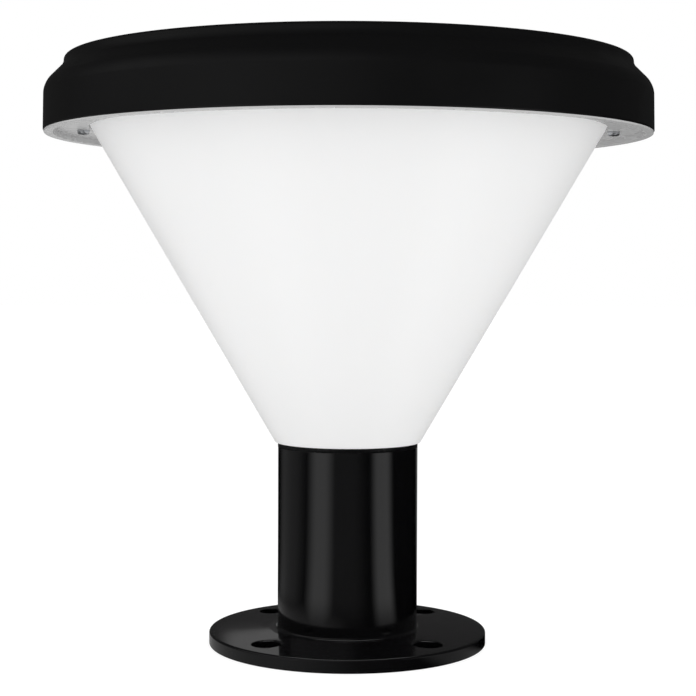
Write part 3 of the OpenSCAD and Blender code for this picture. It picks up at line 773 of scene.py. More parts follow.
@dataclass
class Foot(SubAssembly):
    """The bolted flange, the tube welded into it and the two screws that clamp the head's neck.

    Attributes:
        rise: How much higher the flange is beside the tube than at its rim.
        hub_land: Width of the level ring beside the tube.
        hub_round: Radius of the bend where that ring turns into the slope.
        edge_round: Radius of the rim's upper edge.
        foot_round: Radius of the rim's lower edge.
        bolts: Number of bolt holes.
        bolt_circle: Diameter of the circle that they lie on.
        bolt_hole: Diameter of a bolt hole.
        bolt_turn: Degrees from +X round to the first.
        flare_w: How far the flare that breaks a hole's upper edge widens.
        flare_h: Height over which it does so, from the rim's height up.
        cable_hole: Diameter of the hole for the cable.
        cable_round: Radius of its lower edge.
        weld_gap: Gap between the tube and its socket.
        weld_hollow: Distance of the hollow's corner from tube and flange, as a share of the bead's leg.
        weld_round: Radius that this corner is rounded to, as a share of the leg.
        tube_wall: Thickness of the tube.
        tube_edge: Radius of the tube's edges.
        grub: The screw that clamps the neck.
        grub_seat: Gap between the tube and the screw's head.
        grub_turns: Degrees from +X round to each of these screws.
        flange: Box of the flange.
        tube: Box of the tube.
    """

    body: str = "base"
    rise: float = 0.8
    hub_land: float = 3.0
    hub_round: float = 6.0
    edge_round: float = 0.8
    foot_round: float = 0.4
    bolts: int = 4
    bolt_circle: float = 80.0
    bolt_hole: float = 10.6
    bolt_turn: float = 45.0
    flare_w: float = 1.2
    flare_h: float = 1.5
    cable_hole: float = 40.0
    cable_round: float = 0.3
    weld_gap: float = 0.05
    weld_hollow: float = 0.15
    weld_round: float = 1.1
    tube_wall: float = 1.5
    tube_edge: float = 0.25
    grub: PanScrew = PanScrew(4.0, 2.7)
    grub_seat: float = 0.05
    grub_turns: tuple = (45, 135)
    flange: Extent = field(init=False)
    tube: Extent = field(init=False)

    def build(self) -> None:
        """Build every piece of the foot."""
        self.flange = Extent.of("wall_flange")
        self.tube = Extent.of("mount_tube")
        self.fit(self.make_flange(), ENAMEL, "wall_flange")
        self.fit(self.make_bead(), ENAMEL, "weld_bead")
        self.fit(self.make_tube(), ENAMEL, "mount_tube")
        self.fit(self.make_screws(), BLACK_ZINC, "grub_screws", even=False)

    def make_flange(self) -> bpy.types.Object:
        """Turn the round flange and drill its four bolt holes, each with a broken edge.

        Returns:
            The flange.
        """
        hub_z = self.flange.high.z
        rim_z = hub_z - self.rise
        rim_r = self.flange.radius
        bore_r = self.cable_hole / 2
        socket_r, socket_z = self.tube.radius + self.weld_gap, self.tube.low.z
        plate = made("round_flange", turned([
            Corner(bore_r, 0, self.cable_round), Corner(rim_r, 0, self.foot_round),
            Corner(rim_r, rim_z, self.edge_round),
            Corner(self.tube.radius + self.hub_land, hub_z, self.hub_round),
            Corner(socket_r, hub_z), Corner(socket_r, socket_z), Corner(bore_r, socket_z)], sides=256))
        hole_r, flare_z = self.bolt_hole / 2, rim_z + self.flare_h
        hole = turned([
            Corner(0, -PAST_MM), Corner(hole_r, -PAST_MM), Corner(hole_r, rim_z),
            Corner(hole_r + self.flare_w, flare_z), Corner(0, flare_z)], sides=64)
        return carved(plate, copied(hole, ring_places(self.bolts, self.bolt_circle / 2, self.bolt_turn)))

    def make_bead(self) -> bpy.types.Object:
        """Turn the weld's hollow fillet between tube and flange.

        Returns:
            The bead.
        """
        bead = Extent.of("weld_bead")
        inner, low, leg = self.tube.radius + HAIR_MM, bead.low.z, bead.size.z
        hollow = leg * self.weld_hollow
        return made("weld_fillet", turned([
            Corner(inner, low), Corner(bead.radius, low),
            Corner(inner + hollow, low + hollow, leg * self.weld_round),
            Corner(inner, bead.high.z)], sides=256))

    def make_tube(self) -> bpy.types.Object:
        """Turn the tube, with its cut ends just broken.

        Returns:
            The tube.
        """
        tube, edges = self.tube, (self.tube_edge,) * 4
        section = band(tube.radius - self.tube_wall, tube.radius, tube.low.z, tube.high.z, edges)
        return made("enamelled_tube", turned(section, sides=256))

    def make_screws(self) -> bpy.types.Object:
        """Place the clamping screws square to the tube, at the back.

        Returns:
            Both screws as one piece.
        """
        z = Extent.of("grub_screws").middle.z
        seat = Matrix.Translation((self.tube.radius + self.grub_seat, 0, z)) @ Matrix.Rotation(pi / 2, 4, "Y")
        places = [Matrix.Rotation(radians(turn), 4, "Z") @ seat for turn in self.grub_turns]
        return made("clamp_screws", copied(self.grub.mesh(), places))


@dataclass
class Cone(SubAssembly):
    """The opal cone with its floor and clamped lip, and the plug under it.

    Attributes:
        wall: Thickness of the wall.
        floor: Thickness of the floor.
        floor_round: Radius between wall and floor, inside.
        lip: Thickness of the lip that the ring and the tray clamp.
        lip_round: Radius between wall and lip, outside.
        foot_round: Radius of the lower edge.
        overhang: How far the foot stands out past the tube.
        mouth_r: Outer radius level with the skirt's lower edge.
        spacer_hole_r: Radius of the lip's holes for the ring's spacers.
        switch_hole_r: Radius of the lip's hole for the switch.
        neck_hole_r: Radius of the floor's holes for the neck's screws.
        neck_circle_r: Radius of the circle that these holes lie on.
        neck_screws: Number of these screws.
        box: Box of the cone with its lip.
        foot_r: Outer radius of the foot.
        slope: How much the radius grows for each millimetre of height.
    """

    wall: float = 2.4
    floor: float = 3.0
    floor_round: float = 1.5
    lip: float = 2.0
    lip_round: float = 0.3
    foot_round: float = 0.5
    overhang: float = 1.0
    mouth_r: float = 91.3
    spacer_hole_r: float = 3.3
    switch_hole_r: float = 4.3
    neck_hole_r: float = 2.2
    neck_circle_r: float = 13.0
    neck_screws: int = 3
    box: Extent = field(init=False)
    foot_r: float = field(init=False)
    slope: float = field(init=False)

    def build(self) -> None:
        """Build the cone and dress the neck."""
        self.box = Extent.of("diffuser")
        self.foot_r = Extent.of("mount_tube").radius + self.overhang
        self.slope = (self.mouth_r - self.foot_r) / (Extent.of("top_housing").low.z - self.box.low.z)
        self.fit(self.make_cone(), OPAL, "diffuser")
        self.fit(smoothed("neck_spigot"), BLACK_ABS, "neck_spigot", even=False)

    def outer(self, z: float) -> float:
        """Return the cone's outer radius at a height."""
        return self.foot_r + (z - self.box.low.z) * self.slope

    def make_cone(self) -> bpy.types.Object:
        """Turn the cone as one wall of even thickness, open at the top, and drill its lip and floor.

        Returns:
            The cone.
        """
        low, top = self.box.low.z, self.box.high.z
        lip_z, floor_z = top - self.lip, low + self.floor
        level = self.wall * hypot(1, self.slope)
        cone = made("opal_cone", turned([
            Corner(0, low), Corner(self.foot_r, low, self.foot_round),
            Corner(self.outer(lip_z), lip_z, self.lip_round), Corner(self.box.radius, lip_z),
            Corner(self.box.radius, top), Corner(self.outer(top) - level, top),
            Corner(self.outer(floor_z) - level, floor_z, self.floor_round), Corner(0, floor_z)],
            sides=256, steps=6))
        button = [Extent.of("power_button").axis]
        carved(cone, pins(self.spacer_hole_r, lip_z - PAST_MM, top + PAST_MM, underside_places()))
        carved(cone, pins(self.switch_hole_r, lip_z - PAST_MM, top + PAST_MM, button))
        neck = ring_places(self.neck_screws, self.neck_circle_r)
        return carved(cone, pins(self.neck_hole_r, low - PAST_MM, floor_z + PAST_MM, neck))


@dataclass
class Soffit(SubAssembly):
    """The pale ring that closes the head's underside, and the two small screws that hold it.

    Attributes:
        cone: The cone that the ring fits round.
        recess: How far the plate lies above the skirt's lower edge.
        plate: Thickness of the plate.
        plate_round: Radius of the plate's lower corners.
        cone_gap: Gap between plate and cone.
        lip_w: Width of the lip that runs under the skirt.
        lip_gap: Gap between lip and skirt.
        lip_round: Radius of the lip's lower edges.
        upstand_w: Thickness of the wall that stands up inside the skirt.
        spacer_r: Radius of the spacers round the screws.
        button_hole_r: Radius of the hole for the button.
        low: Height of the plate's underside.
        skirt_z: Height of the skirt's lower edge.
    """

    cone: Cone = field(kw_only=True)
    recess: float = 1.5
    plate: float = 2.2
    plate_round: float = 0.3
    cone_gap: float = 0.5
    lip_w: float = 3.3
    lip_gap: float = 0.1
    lip_round: float = 0.28
    upstand_w: float = 1.9
    spacer_r: float = 3.0
    button_hole_r: float = 2.85
    low: float = field(init=False)
    skirt_z: float = field(init=False)

    def build(self) -> None:
        """Build the ring and its screws."""
        self.skirt_z = Extent.of("top_housing").low.z
        self.low = self.skirt_z + self.recess
        self.fit(self.make_ring(), GREY_ABS, "soffit_ring")
        self.fit(self.make_screws(), ZINC, "soffit_screws", even=False)

    def make_ring(self) -> bpy.types.Object:
        """Turn the ring with its lip and upstand, set the spacers on it and drill it.

        Returns:
            The ring.
        """
        box, seal = Extent.of("soffit_ring"), Extent.of("soffit_seal")
        low, top = self.low, self.low + self.plate
        lip_r, lip_in = box.radius, box.radius - self.lip_w
        ledge_z = self.skirt_z - self.lip_gap
        upstand_r, upstand_in, upstand_z = seal.radius, seal.radius - self.upstand_w, seal.low.z
        ring = made("soffit_plate", turned([
            Corner(self.cone.outer(low) + self.cone_gap, low, self.plate_round),
            Corner(lip_in, low, self.plate_round), Corner(lip_in, box.low.z, self.lip_round),
            Corner(lip_r, box.low.z, self.lip_round), Corner(lip_r, ledge_z), Corner(upstand_r, ledge_z),
            Corner(upstand_r, upstand_z), Corner(upstand_in, upstand_z), Corner(upstand_in, top),
            Corner(self.cone.outer(top) + self.cone_gap, top)], sides=320))
        places, button = underside_places(), [Extent.of("power_button").axis]
        carved(ring, pins(self.spacer_r, top - PAST_MM, box.high.z, places), "UNION")
        carved(ring, pins(UNDERSIDE_SCREW.hole_r, low - PAST_MM, box.high.z + PAST_MM, places))
        return carved(ring, pins(self.button_hole_r, low - PAST_MM, top + PAST_MM, button))

    def make_screws(self) -> bpy.types.Object:
        """Place the screws head down against the ring.

        Returns:
            Both screws as one piece.
        """
        down = Matrix.Translation((0, 0, self.low)) @ Matrix.Rotation(pi, 4, "X")
        places = [place @ down for place in underside_places()]
        return made("soffit_plate_screws", copied(UNDERSIDE_SCREW.mesh(), places))


@dataclass
class Housing(SubAssembly):
    """The black head: upright skirt, rounded shoulder, sloped band and raised rim round the panel.

    Attributes:
        skirt_h: Height of the skirt, up to the shoulder.
        draft: How far the skirt leans in over that height.
        shoulder: Radius of the shoulder.
        hollow: Radius of the hollow between band and rim.
        rim_inset: How far the rim stands in from the skirt's lower edge.
        rim_w: Width of the rim.
        rim_round: Radius of the rim's outer edge.
        edge_round: Radius of the rim's inner edge and of the skirt's lower one.
        skirt_wall: Thickness of the skirt.
        skirt_round: Radius of the skirt's lower edge, inside.
        ledge_w: Width of the ledge that the ring's seal presses on.
        rib_gap: Distance from the wall above that ledge in to the rib.
        rib_w: Thickness of the rib that holds the tray down.
        deck_t: Thickness of the deck under the panel.
        boss_r: Radius of the bosses that the underside's screws go into.
    """

    skirt_h: float = 12.9
    draft: float = 0.3
    shoulder: float = 7.0
    hollow: float = 4.0
    rim_inset: float = 7.4
    rim_w: float = 7.0
    rim_round: float = 1.4
    edge_round: float = 0.5
    skirt_wall: float = 2.5
    skirt_round: float = 0.3
    ledge_w: float = 2.1
    rib_gap: float = 0.8
    rib_w: float = 1.6
    deck_t: float = 2.0
    boss_r: float = 3.0

    def build(self) -> None:
        """Build the shell."""
        self.fit(self.make_shell(), BLACK_ABS, "top_housing")

    def make_shell(self) -> bpy.types.Object:
        """Turn the whole shell in one go, with the deck that carries the panel, and set the bosses in it.

        The band slopes at 45 degrees, so radius and height add up to the same sum all along it:
        across on the outside, and across_in on the inside.

        Returns:
            The shell.
        """
        box = Extent.of("top_housing")
        low, top, outer = box.low.z, box.high.z, box.radius
        skirt_top_r, skirt_top = outer - self.draft, low + self.skirt_h
        across = skirt_top_r - self.shoulder + skirt_top + 2 * self.shoulder * cos(pi / 4)
        rim_r = outer - self.rim_inset
        recess_r = rim_r - self.rim_w
        deck = Extent.of("panel_adhesive").low.z
        ceiling = deck - self.deck_t
        skirt_in = outer - self.skirt_wall
        ledge, ledge_r = Extent.of("soffit_seal").high.z, skirt_in - self.ledge_w
        inner_round = self.shoulder - (skirt_top_r - ledge_r)
        across_in = ledge_r - inner_round + skirt_top + 2 * inner_round * cos(pi / 4)
        rib_z = Extent.of("gear_tray").high.z
        rib_r = ledge_r - self.rib_gap
        rib_in = rib_r - self.rib_w
        shell = made("head_shell", turned([
            Corner(outer, low, self.edge_round), Corner(skirt_top_r, across - skirt_top_r, self.shoulder),
            Corner(rim_r, across - rim_r, self.hollow), Corner(rim_r, top, self.rim_round),
            Corner(recess_r, top, self.edge_round), Corner(recess_r, deck), Corner(0, deck),
            Corner(0, ceiling), Corner(across_in - ceiling, ceiling), Corner(rib_in, across_in - rib_in),
            Corner(rib_in, rib_z), Corner(rib_r, rib_z), Corner(rib_r, across_in - rib_r),
            Corner(ledge_r, across_in - ledge_r), Corner(ledge_r, ledge), Corner(skirt_in, ledge),
            Corner(skirt_in, low, self.skirt_round)], sides=320, steps=8))
        boss_z, places = Extent.of("soffit_ring").high.z, underside_places()
        carved(shell, pins(self.boss_r, boss_z, ceiling + PAST_MM, places), "UNION")
        return carved(shell, pins(UNDERSIDE_SCREW.hole_r, boss_z - PAST_MM, ceiling, places))


@dataclass
class Panel(SubAssembly):
    """The solar panel in the head's recess: laminate, cells with ribbons, glass and its seal.

    Attributes:
        sheet_round: Radius of the laminate's edges.
        glass_edge: Radius of the glass's upper edge.
        bead_round: Radius of the seal's upper edges.
        rows: Number of cell strips from front to back.
        columns: Number of cell strips from side to side.
        cell_gap: Gap between neighbouring strips.
        cell_cut: Size of a strip's clipped corners.
        ribbon_w: Width of a ribbon.
        ribbon_share: How far a ribbon lies in from its strip's side, as a share of the strip's width.
        ribbon_round: Radius of a ribbon's edges, as a share of its thickness.
    """

    sheet_round: float = 0.1
    glass_edge: float = 0.4
    bead_round: float = 0.2
    rows: int = 6
    columns: int = 2
    cell_gap: float = 1.6
    cell_cut: float = 2.0
    ribbon_w: float = 1.6
    ribbon_share: float = 0.25
    ribbon_round: float = 0.3

    def build(self) -> None:
        """Build each layer from the laminate up."""
        self.fit(self.make_laminate(), LAMINATE, "panel_backsheet")
        self.fit(self.make_cells(), CELL, "solar_cells", even=False)
        self.fit(self.make_ribbons(), RIBBON, "cell_ribbons", even=False)
        self.fit(self.make_glass(), GLASS, "panel_glass")
        self.fit(self.make_seal(), SILICONE, "panel_seal")

    @property
    def cell_size(self) -> tuple:
        """Work out the size of one cell strip.

        Returns:
            Its width and depth.
        """
        size = Extent.of("solar_cells").size
        return tuple((whole - self.cell_gap * (count - 1)) / count
                     for whole, count in ((size.x, self.columns), (size.y, self.rows)))

    def make_laminate(self) -> bpy.types.Object:
        """Turn the dark sheet under the cells.

        Returns:
            The sheet.
        """
        box, edge = Extent.of("panel_backsheet"), self.sheet_round
        section = band(0, box.radius, box.low.z, box.high.z, (0, edge, edge, 0))
        return made("panel_laminate", turned(section, sides=256, steps=2))

    def make_cells(self) -> bpy.types.Object:
        """Cut one cell strip with clipped corners and lay the whole grid.

        Returns:
            All the strips as one piece.
        """
        cells = Extent.of("solar_cells")
        width, depth = self.cell_size
        first = cells.low + Vector((width / 2, depth / 2, cells.size.z / 2))
        pitch_x, pitch_y = width + self.cell_gap, depth + self.cell_gap
        places = [Matrix.Translation(first + Vector((column * pitch_x, row * pitch_y, 0)))
                  for column in range(self.columns) for row in range(self.rows)]
        return made("cell_strips", copied(bar((width, depth, cells.size.z), 2, self.cell_cut), places))

    def make_ribbons(self) -> bpy.types.Object:
        """Lay the tinned ribbons that join the strips of each column.

        Returns:
            All the ribbons as one piece.
        """
        box = Extent.of("cell_ribbons")
        size = (self.ribbon_w, box.size.y, box.size.z)
        first, last = box.low.x + self.ribbon_w / 2, box.high.x - self.ribbon_w / 2
        inner = first + self.cell_size[0] * (1 - 2 * self.ribbon_share)
        places = [Matrix.Translation((x, box.middle.y, box.middle.z)) for x in (first, inner, -inner, last)]
        return made("string_ribbons", copied(bar(size, 1, box.size.z * self.ribbon_round, steps=2), places))

    def make_glass(self) -> bpy.types.Object:
        """Turn the glass, with its upper edge ground off.

        Returns:
            The glass.
        """
        box = Extent.of("panel_glass")
        section = band(0, box.radius, box.low.z, box.high.z, (0, 0, self.glass_edge, 0))
        return made("panel_window", turned(section, sides=256, steps=3))

    def make_seal(self) -> bpy.types.Object:
        """Turn the thin bead that fills the gap round the glass.

        Returns:
            The bead.
        """
        box, inner = Extent.of("panel_seal"), Extent.of("panel_glass").radius + HAIR_MM
        section = band(inner, box.radius, box.low.z, box.high.z, (0, 0, self.bead_round, self.bead_round))
        return made("glass_bead", turned(section, sides=256, steps=3))


@dataclass
class Button(SubAssembly):
    """The push button on the underside."""

    body: str = "button"

    def build(self) -> None:
        """Dress the button."""
        self.fit(smoothed("power_button"), SILICONE, "power_button", even=False)


@dataclass
class Works:
    """What the head holds inside, carried over from CAD.

    Attributes:
        finishes: Each finish, mapped to the CAD nodes that wear it.
    """

    finishes: dict[Finish, tuple] = field(default_factory=lambda: {
        SILICONE: ("neck_gasket", "diffuser_gasket", "soffit_seal", "panel_adhesive", "switch_seal"),
        ZINC: ("neck_screws", "board_screws", "led_screws"),
        WHITE_ABS: ("gear_tray",),
        BLACK_ABS: ("battery_cradle", "switch_body"),
        SLEEVE: ("battery_cells",),
        NICKEL: ("battery_tabs",),
        SOLDER_MASK: ("control_board",),
        FERRITE: ("charge_inductor",),
        CAN: ("board_capacitors",),
        RESIN: ("board_chips",),
        NYLON: ("wire_sockets",),
        PAD: ("thermal_pad",),
        WHITE_MASK: ("led_board",),
        PHOSPHOR: ("led_emitters",),
        LEAD: ("panel_wires", "battery_wires", "led_wires", "switch_wires")})

    def build(self) -> None:
        """Give every carried-over node its material."""
        for finish, nodes in self.finishes.items():
            for node in nodes:
                dressed(bpy.data.objects[node], finish)
                LOG.info("%s: CAD node in %s", node, finish.name)


def seen(tree: bpy.types.NodeTree) -> Link:
    """Tell rays from the camera, a mirror or glass from the rays that light the object.

    Args:
        tree: The node tree.

    Returns:
        The output socket that is 1 for the first kind and 0 for the second.
    """
    path = add_node(tree, "ShaderNodeLightPath", {}).outputs
    mirror = add_node(tree, "ShaderNodeMath", {
        0: path["Is Camera Ray"], 1: path["Is Glossy Ray"]}, operation="MAXIMUM")
    return add_node(tree, "ShaderNodeMath", {
        0: mirror.outputs[0], 1: path["Is Transmission Ray"]}, operation="MAXIMUM").outputs[0]


def from_axis(tree: bpy.types.NodeTree) -> Link:
    """Measure how far each point is from the object's upright axis.

    Args:
        tree: The node tree.

    Returns:
        The output socket that holds the distance in metres.
    """
    place = add_node(tree, "ShaderNodeTexCoord", {}).outputs["Object"]
    flat = add_node(tree, "ShaderNodeMapping", {"Vector": place, "Scale": (1, 1, 0)})
    return add_node(tree, "ShaderNodeVectorMath", {
        0: flat.outputs["Vector"]}, operation="LENGTH").outputs["Value"]


def staged(piece: bpy.types.Object, name: str) -> bpy.types.NodeTree:
    """Give a stage object a material of its own.

    Args:
        piece: The object.
        name: The material's name.

    Returns:
        The new material's node tree.
    """
    material = bpy.data.materials.new(name)
    material.use_nodes = True
    piece.data.materials.append(material)
    return material.node_tree


class Zone(Enum):
    """A part of the dark cloth that a card can stand against."""

    FOOT = "on the table, close round the object"
    TABLE = "on the table, further off"
    WALL = "upright, above the table"


@dataclass(frozen=True)
class Card:
    """A pale card against the dark cloth, which shows as a soft streak in the gloss.

    Attributes:
        zone: The part of the cloth that it stands against.
        azimuth: Degrees from the camera's side round to its middle, positive to the right.
        width: Degrees that it spans.
        fade: Degrees over which it falls away to nothing on each side.
        tone: Its brightness, where 1 is white.
    """

    zone: Zone
    azimuth: float
    width: float
    fade: float
    tone: float


@dataclass
class DarkCloth:
    """The dark cloth round the set, with its pale cards. It lights nothing, and only gloss and glass show it.

    Attributes:
        radius: Distance to its wall in metres.
        height: Height of its roof.
        low_mm: Height of its lower side in millimetres, a hair above the floor.
        rounds_mm: Radius of its lower and upper corner.
        tone: Brightness of the bare cloth.
        table_z: Height up to which it counts as lying on the table.
        table_fade: Height over which it then turns into the upright cloth.
        wall_z: Height from which the upright cards show.
        wall_fade: Height over which they come up to their full brightness.
        foot_r: Distance within which the foot cards lie.
        table_r: Distance beyond which the table cards are at their full brightness.
        near_share: Share of that brightness that is left within foot_r.
        cards: Every card.
    """

    radius: float = 2.0
    height: float = 1.5
    low_mm: float = -0.03
    rounds_mm: tuple = (50, 300)
    tone: float = 0.05
    table_z: float = 0.05
    table_fade: float = 0.05
    wall_z: float = 0.45
    wall_fade: float = 0.02
    foot_r: float = 0.06
    table_r: float = 0.13
    near_share: float = 0.3
    cards: tuple = (
        Card(Zone.TABLE, azimuth=-167, width=10, fade=4, tone=0.6),
        Card(Zone.TABLE, azimuth=-105, width=24, fade=32, tone=0.18),
        Card(Zone.TABLE, azimuth=-43, width=10, fade=24, tone=0.8),
        Card(Zone.TABLE, azimuth=-8, width=30, fade=30, tone=0.12),
        Card(Zone.TABLE, azimuth=57, width=14, fade=16, tone=0.8),
        Card(Zone.TABLE, azimuth=164, width=10, fade=14, tone=0.2),
        Card(Zone.FOOT, azimuth=-75, width=80, fade=55, tone=0.28),
        Card(Zone.WALL, azimuth=-176, width=4, fade=1.2, tone=0.28),
        Card(Zone.WALL, azimuth=-48, width=76, fade=40, tone=0.37))

    def hang(self) -> None:
        """Turn the cloth as a closed can just above the floor, out of sight and out of the light."""
        section = band(0, self.radius / MM, self.low_mm, self.height / MM, (0, *self.rounds_mm, 0))
        cloth = made("dark_cloth", turned(section, sides=96))
        tree = staged(cloth, "lit_cloth")
        painted_glow = add_node(tree, "ShaderNodeEmission", {"Strength": self.brightness(tree)})
        tree.links.new(painted_glow.outputs[0], tree.nodes["Material Output"].inputs["Surface"])
        cloth.visible_camera = False
        cloth.visible_diffuse = False
        cloth.visible_shadow = False

    def brightness(self, tree: bpy.types.NodeTree) -> Link:
        """Light each point as brightly as the brightest of the bare cloth and its cards.

        Args:
            tree: The cloth's node tree.

        Returns:
            The output socket that holds the brightness.
        """
        place = add_node(tree, "ShaderNodeTexCoord", {}).outputs["Object"]
        axes = add_node(tree, "ShaderNodeSeparateXYZ", {"Vector": place}).outputs
        ahead = add_node(tree, "ShaderNodeMath", {0: axes["Y"], 1: -1.0}, operation="MULTIPLY")
        turn = add_node(tree, "ShaderNodeMath", {0: axes["X"], 1: ahead.outputs[0]}, operation="ARCTAN2")
        levels = self.levels(tree, axes["Z"])
        total = levels["bare"]
        for card in self.cards:
            off = add_node(tree, "ShaderNodeMath", {
                0: turn.outputs[0], 1: radians(card.azimuth)}, operation="SUBTRACT")
            away = add_node(tree, "ShaderNodeMath", {0: off.outputs[0]}, operation="ABSOLUTE").outputs[0]
            edge = radians(card.width / 2)
            streak = add_node(
                tree, "ShaderNodeMapRange", span(away, edge, edge + radians(card.fade), card.tone, 0.0),
                interpolation_type="SMOOTHSTEP")
            held = add_node(tree, "ShaderNodeMath", {
                0: streak.outputs["Result"], 1: levels[card.zone]}, operation="MULTIPLY")
            total = add_node(tree, "ShaderNodeMath", {
                0: held.outputs[0], 1: total}, operation="MAXIMUM").outputs[0]
        return total

    def levels(self, tree: bpy.types.NodeTree, height: Link) -> dict:
        """Work out the bare cloth's brightness, and how far each point is part of each zone.

        Args:
            tree: The cloth's node tree.
            height: Each point's height.

        Returns:
            "bare" and each zone, mapped to their output sockets.
        """
        out = from_axis(tree)
        table_top = self.table_z + self.table_fade
        spans = {
            "bare": span(height, self.table_z, table_top, 0.0, self.tone),
            "low": span(height, self.table_z, table_top, 1.0, 0.0),
            # Painted shade: the lying cards go dark within SHADE_R, so what mirrors the cloth under the
            # flange, such as the bolt holes' walls, shows dark
            "open": span(out, SHADE_R - SHADE_FADE, SHADE_R, 0.0, 1.0),
            "near": span(out, self.foot_r, self.table_r, 1.0, 0.0),
            "far": span(out, self.foot_r, self.table_r, self.near_share, 1.0),
            "high": span(height, self.wall_z, self.wall_z + self.wall_fade, 0.0, 1.0)}
        levels = {name: add_node(tree, "ShaderNodeMapRange", inputs,
                                 interpolation_type="SMOOTHSTEP").outputs["Result"]
                  for name, inputs in spans.items()}
        # Overhead the cards run together, so they dim towards the axis and leave no wedge in the glass
        share = add_node(tree, "ShaderNodeMath", {0: out, 1: 1 / self.radius}, operation="MULTIPLY")
        levels["roof"] = add_node(tree, "ShaderNodeMath", {
            0: share.outputs[0], 1: 2.0}, operation="POWER").outputs[0]
        products = {"lying": ("low", "open"), Zone.FOOT: ("lying", "near"), Zone.TABLE: ("lying", "far"),
                    Zone.WALL: ("high", "roof")}
        for name, (one, other) in products.items():
            levels[name] = add_node(tree, "ShaderNodeMath", {
                0: levels[one], 1: levels[other]}, operation="MULTIPLY").outputs[0]
        return levels


@dataclass(frozen=True)
class SoftBox:
    """A rectangular soft lamp that faces the object.

    Attributes:
        name: The lamp's name.
        azimuth: Degrees round from the camera's side, positive to the right.
        watts: Power.
        distance: Metres from the axis.
        width: Width in metres.
        height: Height in metres.
        lift: Height of its centre above the object's middle.
        middle_z: Height of the object's middle.
    """

    name: str
    azimuth: float
    watts: float
    distance: float = 1.6
    width: float = 0.8
    height: float = 1.2
    lift: float = 0.3
    middle_z: float = 0.1

    def hang(self) -> None:
        """Hang the lamp, out of sight and out of the gloss."""
        data = bpy.data.lights.new(self.name, "AREA")
        data.shape = "RECTANGLE"
        data.size = self.width
        data.size_y = self.height
        data.energy = self.watts
        lamp = bpy.data.objects.new(self.name, data)
        bpy.context.scene.collection.objects.link(lamp)
        turn = radians(self.azimuth)
        off = Vector((sin(turn) * self.distance, -cos(turn) * self.distance, self.lift))
        lamp.location = Vector((0, 0, self.middle_z)) + off
        lamp.rotation_euler = (-off).to_track_quat("-Z", "Y").to_euler()
        lamp.visible_camera = False
        lamp.visible_glossy = False


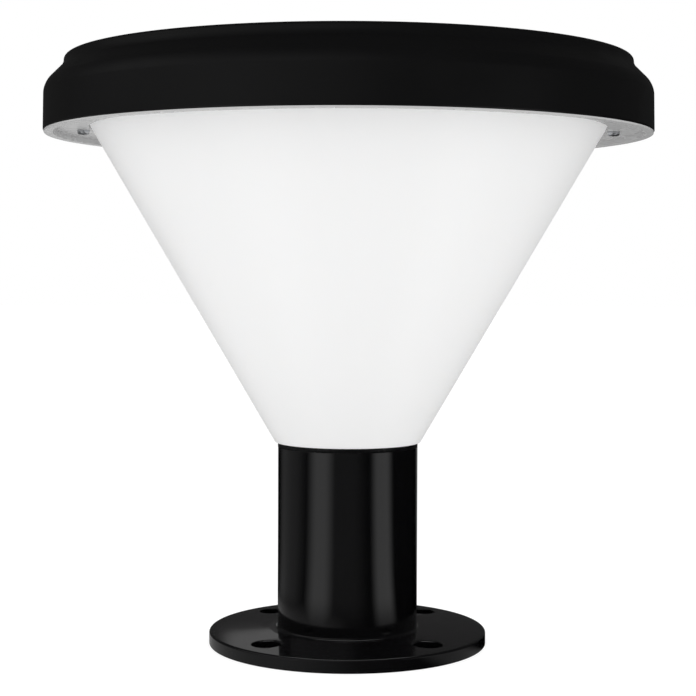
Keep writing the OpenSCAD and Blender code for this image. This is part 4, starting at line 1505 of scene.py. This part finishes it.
@dataclass
class Studio:
    """The camera, the pale floor, the soft lamps and the white surround.

    Attributes:
        camera_mm: Place of the camera.
        pitch: Degrees that it looks down.
        roll: Degrees that it leans clockwise.
        focal_px: Focal length in pixels of the square frame.
        frame_px: Side of that frame in pixels.
        sensor_mm: Width of the camera's sensor.
        floor_r: Radius of the floor in metres.
        floor_mm: Height of the floor, a hair under the object.
        floor_tone: How pale the floor is to the light.
        shadow_share: How strongly the floor shows the object's shadow.
        lit_share: Brightness of the lit floor, as a share of white.
        ambient: Strength of the light from all round.
        lamps: The soft boxes, one each side of the camera.
    """

    camera_mm: tuple = (0.0, -600.5, 135.3)
    pitch: float = 2.635
    roll: float = 0.164
    focal_px: float = 1650.0
    frame_px: float = 696.0
    sensor_mm: float = 36.0
    floor_r: float = 6.0
    floor_mm: float = -0.05
    floor_tone: float = 0.88
    shadow_share: float = 0.3
    lit_share: float = 0.6
    ambient: float = 0.94
    lamps: tuple = (SoftBox("box_left", azimuth=-50, watts=1.6), SoftBox("box_right", azimuth=55, watts=1.4))

    def build(self) -> None:
        """Set up everything round the object."""
        self.place_camera()
        self.lay_floor()
        self.fill_world()
        DarkCloth().hang()
        for lamp in self.lamps:
            lamp.hang()

    def place_camera(self) -> None:
        """Put the camera where the photograph was taken from."""
        data = bpy.data.cameras.new("Camera")
        data.sensor_width = self.sensor_mm
        data.lens = self.focal_px / self.frame_px * self.sensor_mm
        data.clip_start = 0.01
        data.clip_end = 50.0
        camera = bpy.data.objects.new("Camera", data)
        bpy.context.scene.collection.objects.link(camera)
        look = Matrix.Rotation(radians(90 - self.pitch), 4, "X") @ Matrix.Rotation(radians(self.roll), 4, "Z")
        camera.matrix_world = Matrix.Translation(Vector(self.camera_mm) * MM) @ look
        bpy.context.scene.camera = camera

    def lay_floor(self) -> None:
        """Lay a wide pale floor that shows white and keeps the object's shadow, with a painted shade under
        the flange that shows dark in the bolt holes.
        """
        disc = bmesh.new()
        bmesh.ops.create_circle(disc, cap_ends=True, segments=64, radius=self.floor_r / MM)
        bmesh.ops.translate(disc, vec=(0, 0, self.floor_mm), verts=disc.verts[:])
        tree = staged(made("floor", disc), "pale_floor")
        matt, shaded = (add_node(tree, "ShaderNodeBsdfDiffuse", {"Color": (tone, tone, tone, 1)})
                        for tone in (self.floor_tone, self.shadow_share))
        full = 1 - self.shadow_share * self.lit_share
        # Painted shade: the floor's white is turned off within SHADE_R, under the flange and in its bolt
        # holes
        bright = add_node(tree, "ShaderNodeMapRange", span(
            from_axis(tree), SHADE_R - SHADE_FADE, SHADE_R, 0.0, full), interpolation_type="SMOOTHSTEP")
        white = add_node(tree, "ShaderNodeEmission", {"Color": WHITE, "Strength": bright.outputs["Result"]})
        shown = add_node(tree, "ShaderNodeAddShader", {0: shaded.outputs[0], 1: white.outputs[0]})
        both = add_node(tree, "ShaderNodeMixShader", {0: seen(tree), 1: matt.outputs[0], 2: shown.outputs[0]})
        tree.links.new(both.outputs[0], tree.nodes["Material Output"].inputs["Surface"])

    def fill_world(self) -> None:
        """Surround the scene with white where it is seen, and plain soft light elsewhere."""
        world = bpy.data.worlds.new("Surround")
        bpy.context.scene.world = world
        world.use_nodes = True
        tree = world.node_tree
        strength = add_node(tree, "ShaderNodeMapRange", span(seen(tree), 0.0, 1.0, self.ambient, 1.0))
        back = tree.nodes["Background"]
        back.inputs["Color"].default_value = WHITE
        tree.links.new(strength.outputs["Result"], back.inputs["Strength"])


def main() -> None:
    """Build the studio and every sub-assembly in order, and log each one."""
    logging.basicConfig(level=logging.INFO, format="%(name)s: %(message)s")
    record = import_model()["record"]
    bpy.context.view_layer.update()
    slots = {part["node"]: part["material_slot"] for part in record["subparts"]}
    bpy.context.scene.view_settings.view_transform = "Standard"
    cone = Cone(slots)
    for part in (Studio(), Foot(slots), cone, Soffit(slots, cone=cone), Housing(slots), Panel(slots),
                 Button(slots), Works()):
        LOG.info("building %s", type(part).__name__)
        part.build()


if __name__ == "__main__":
    main()
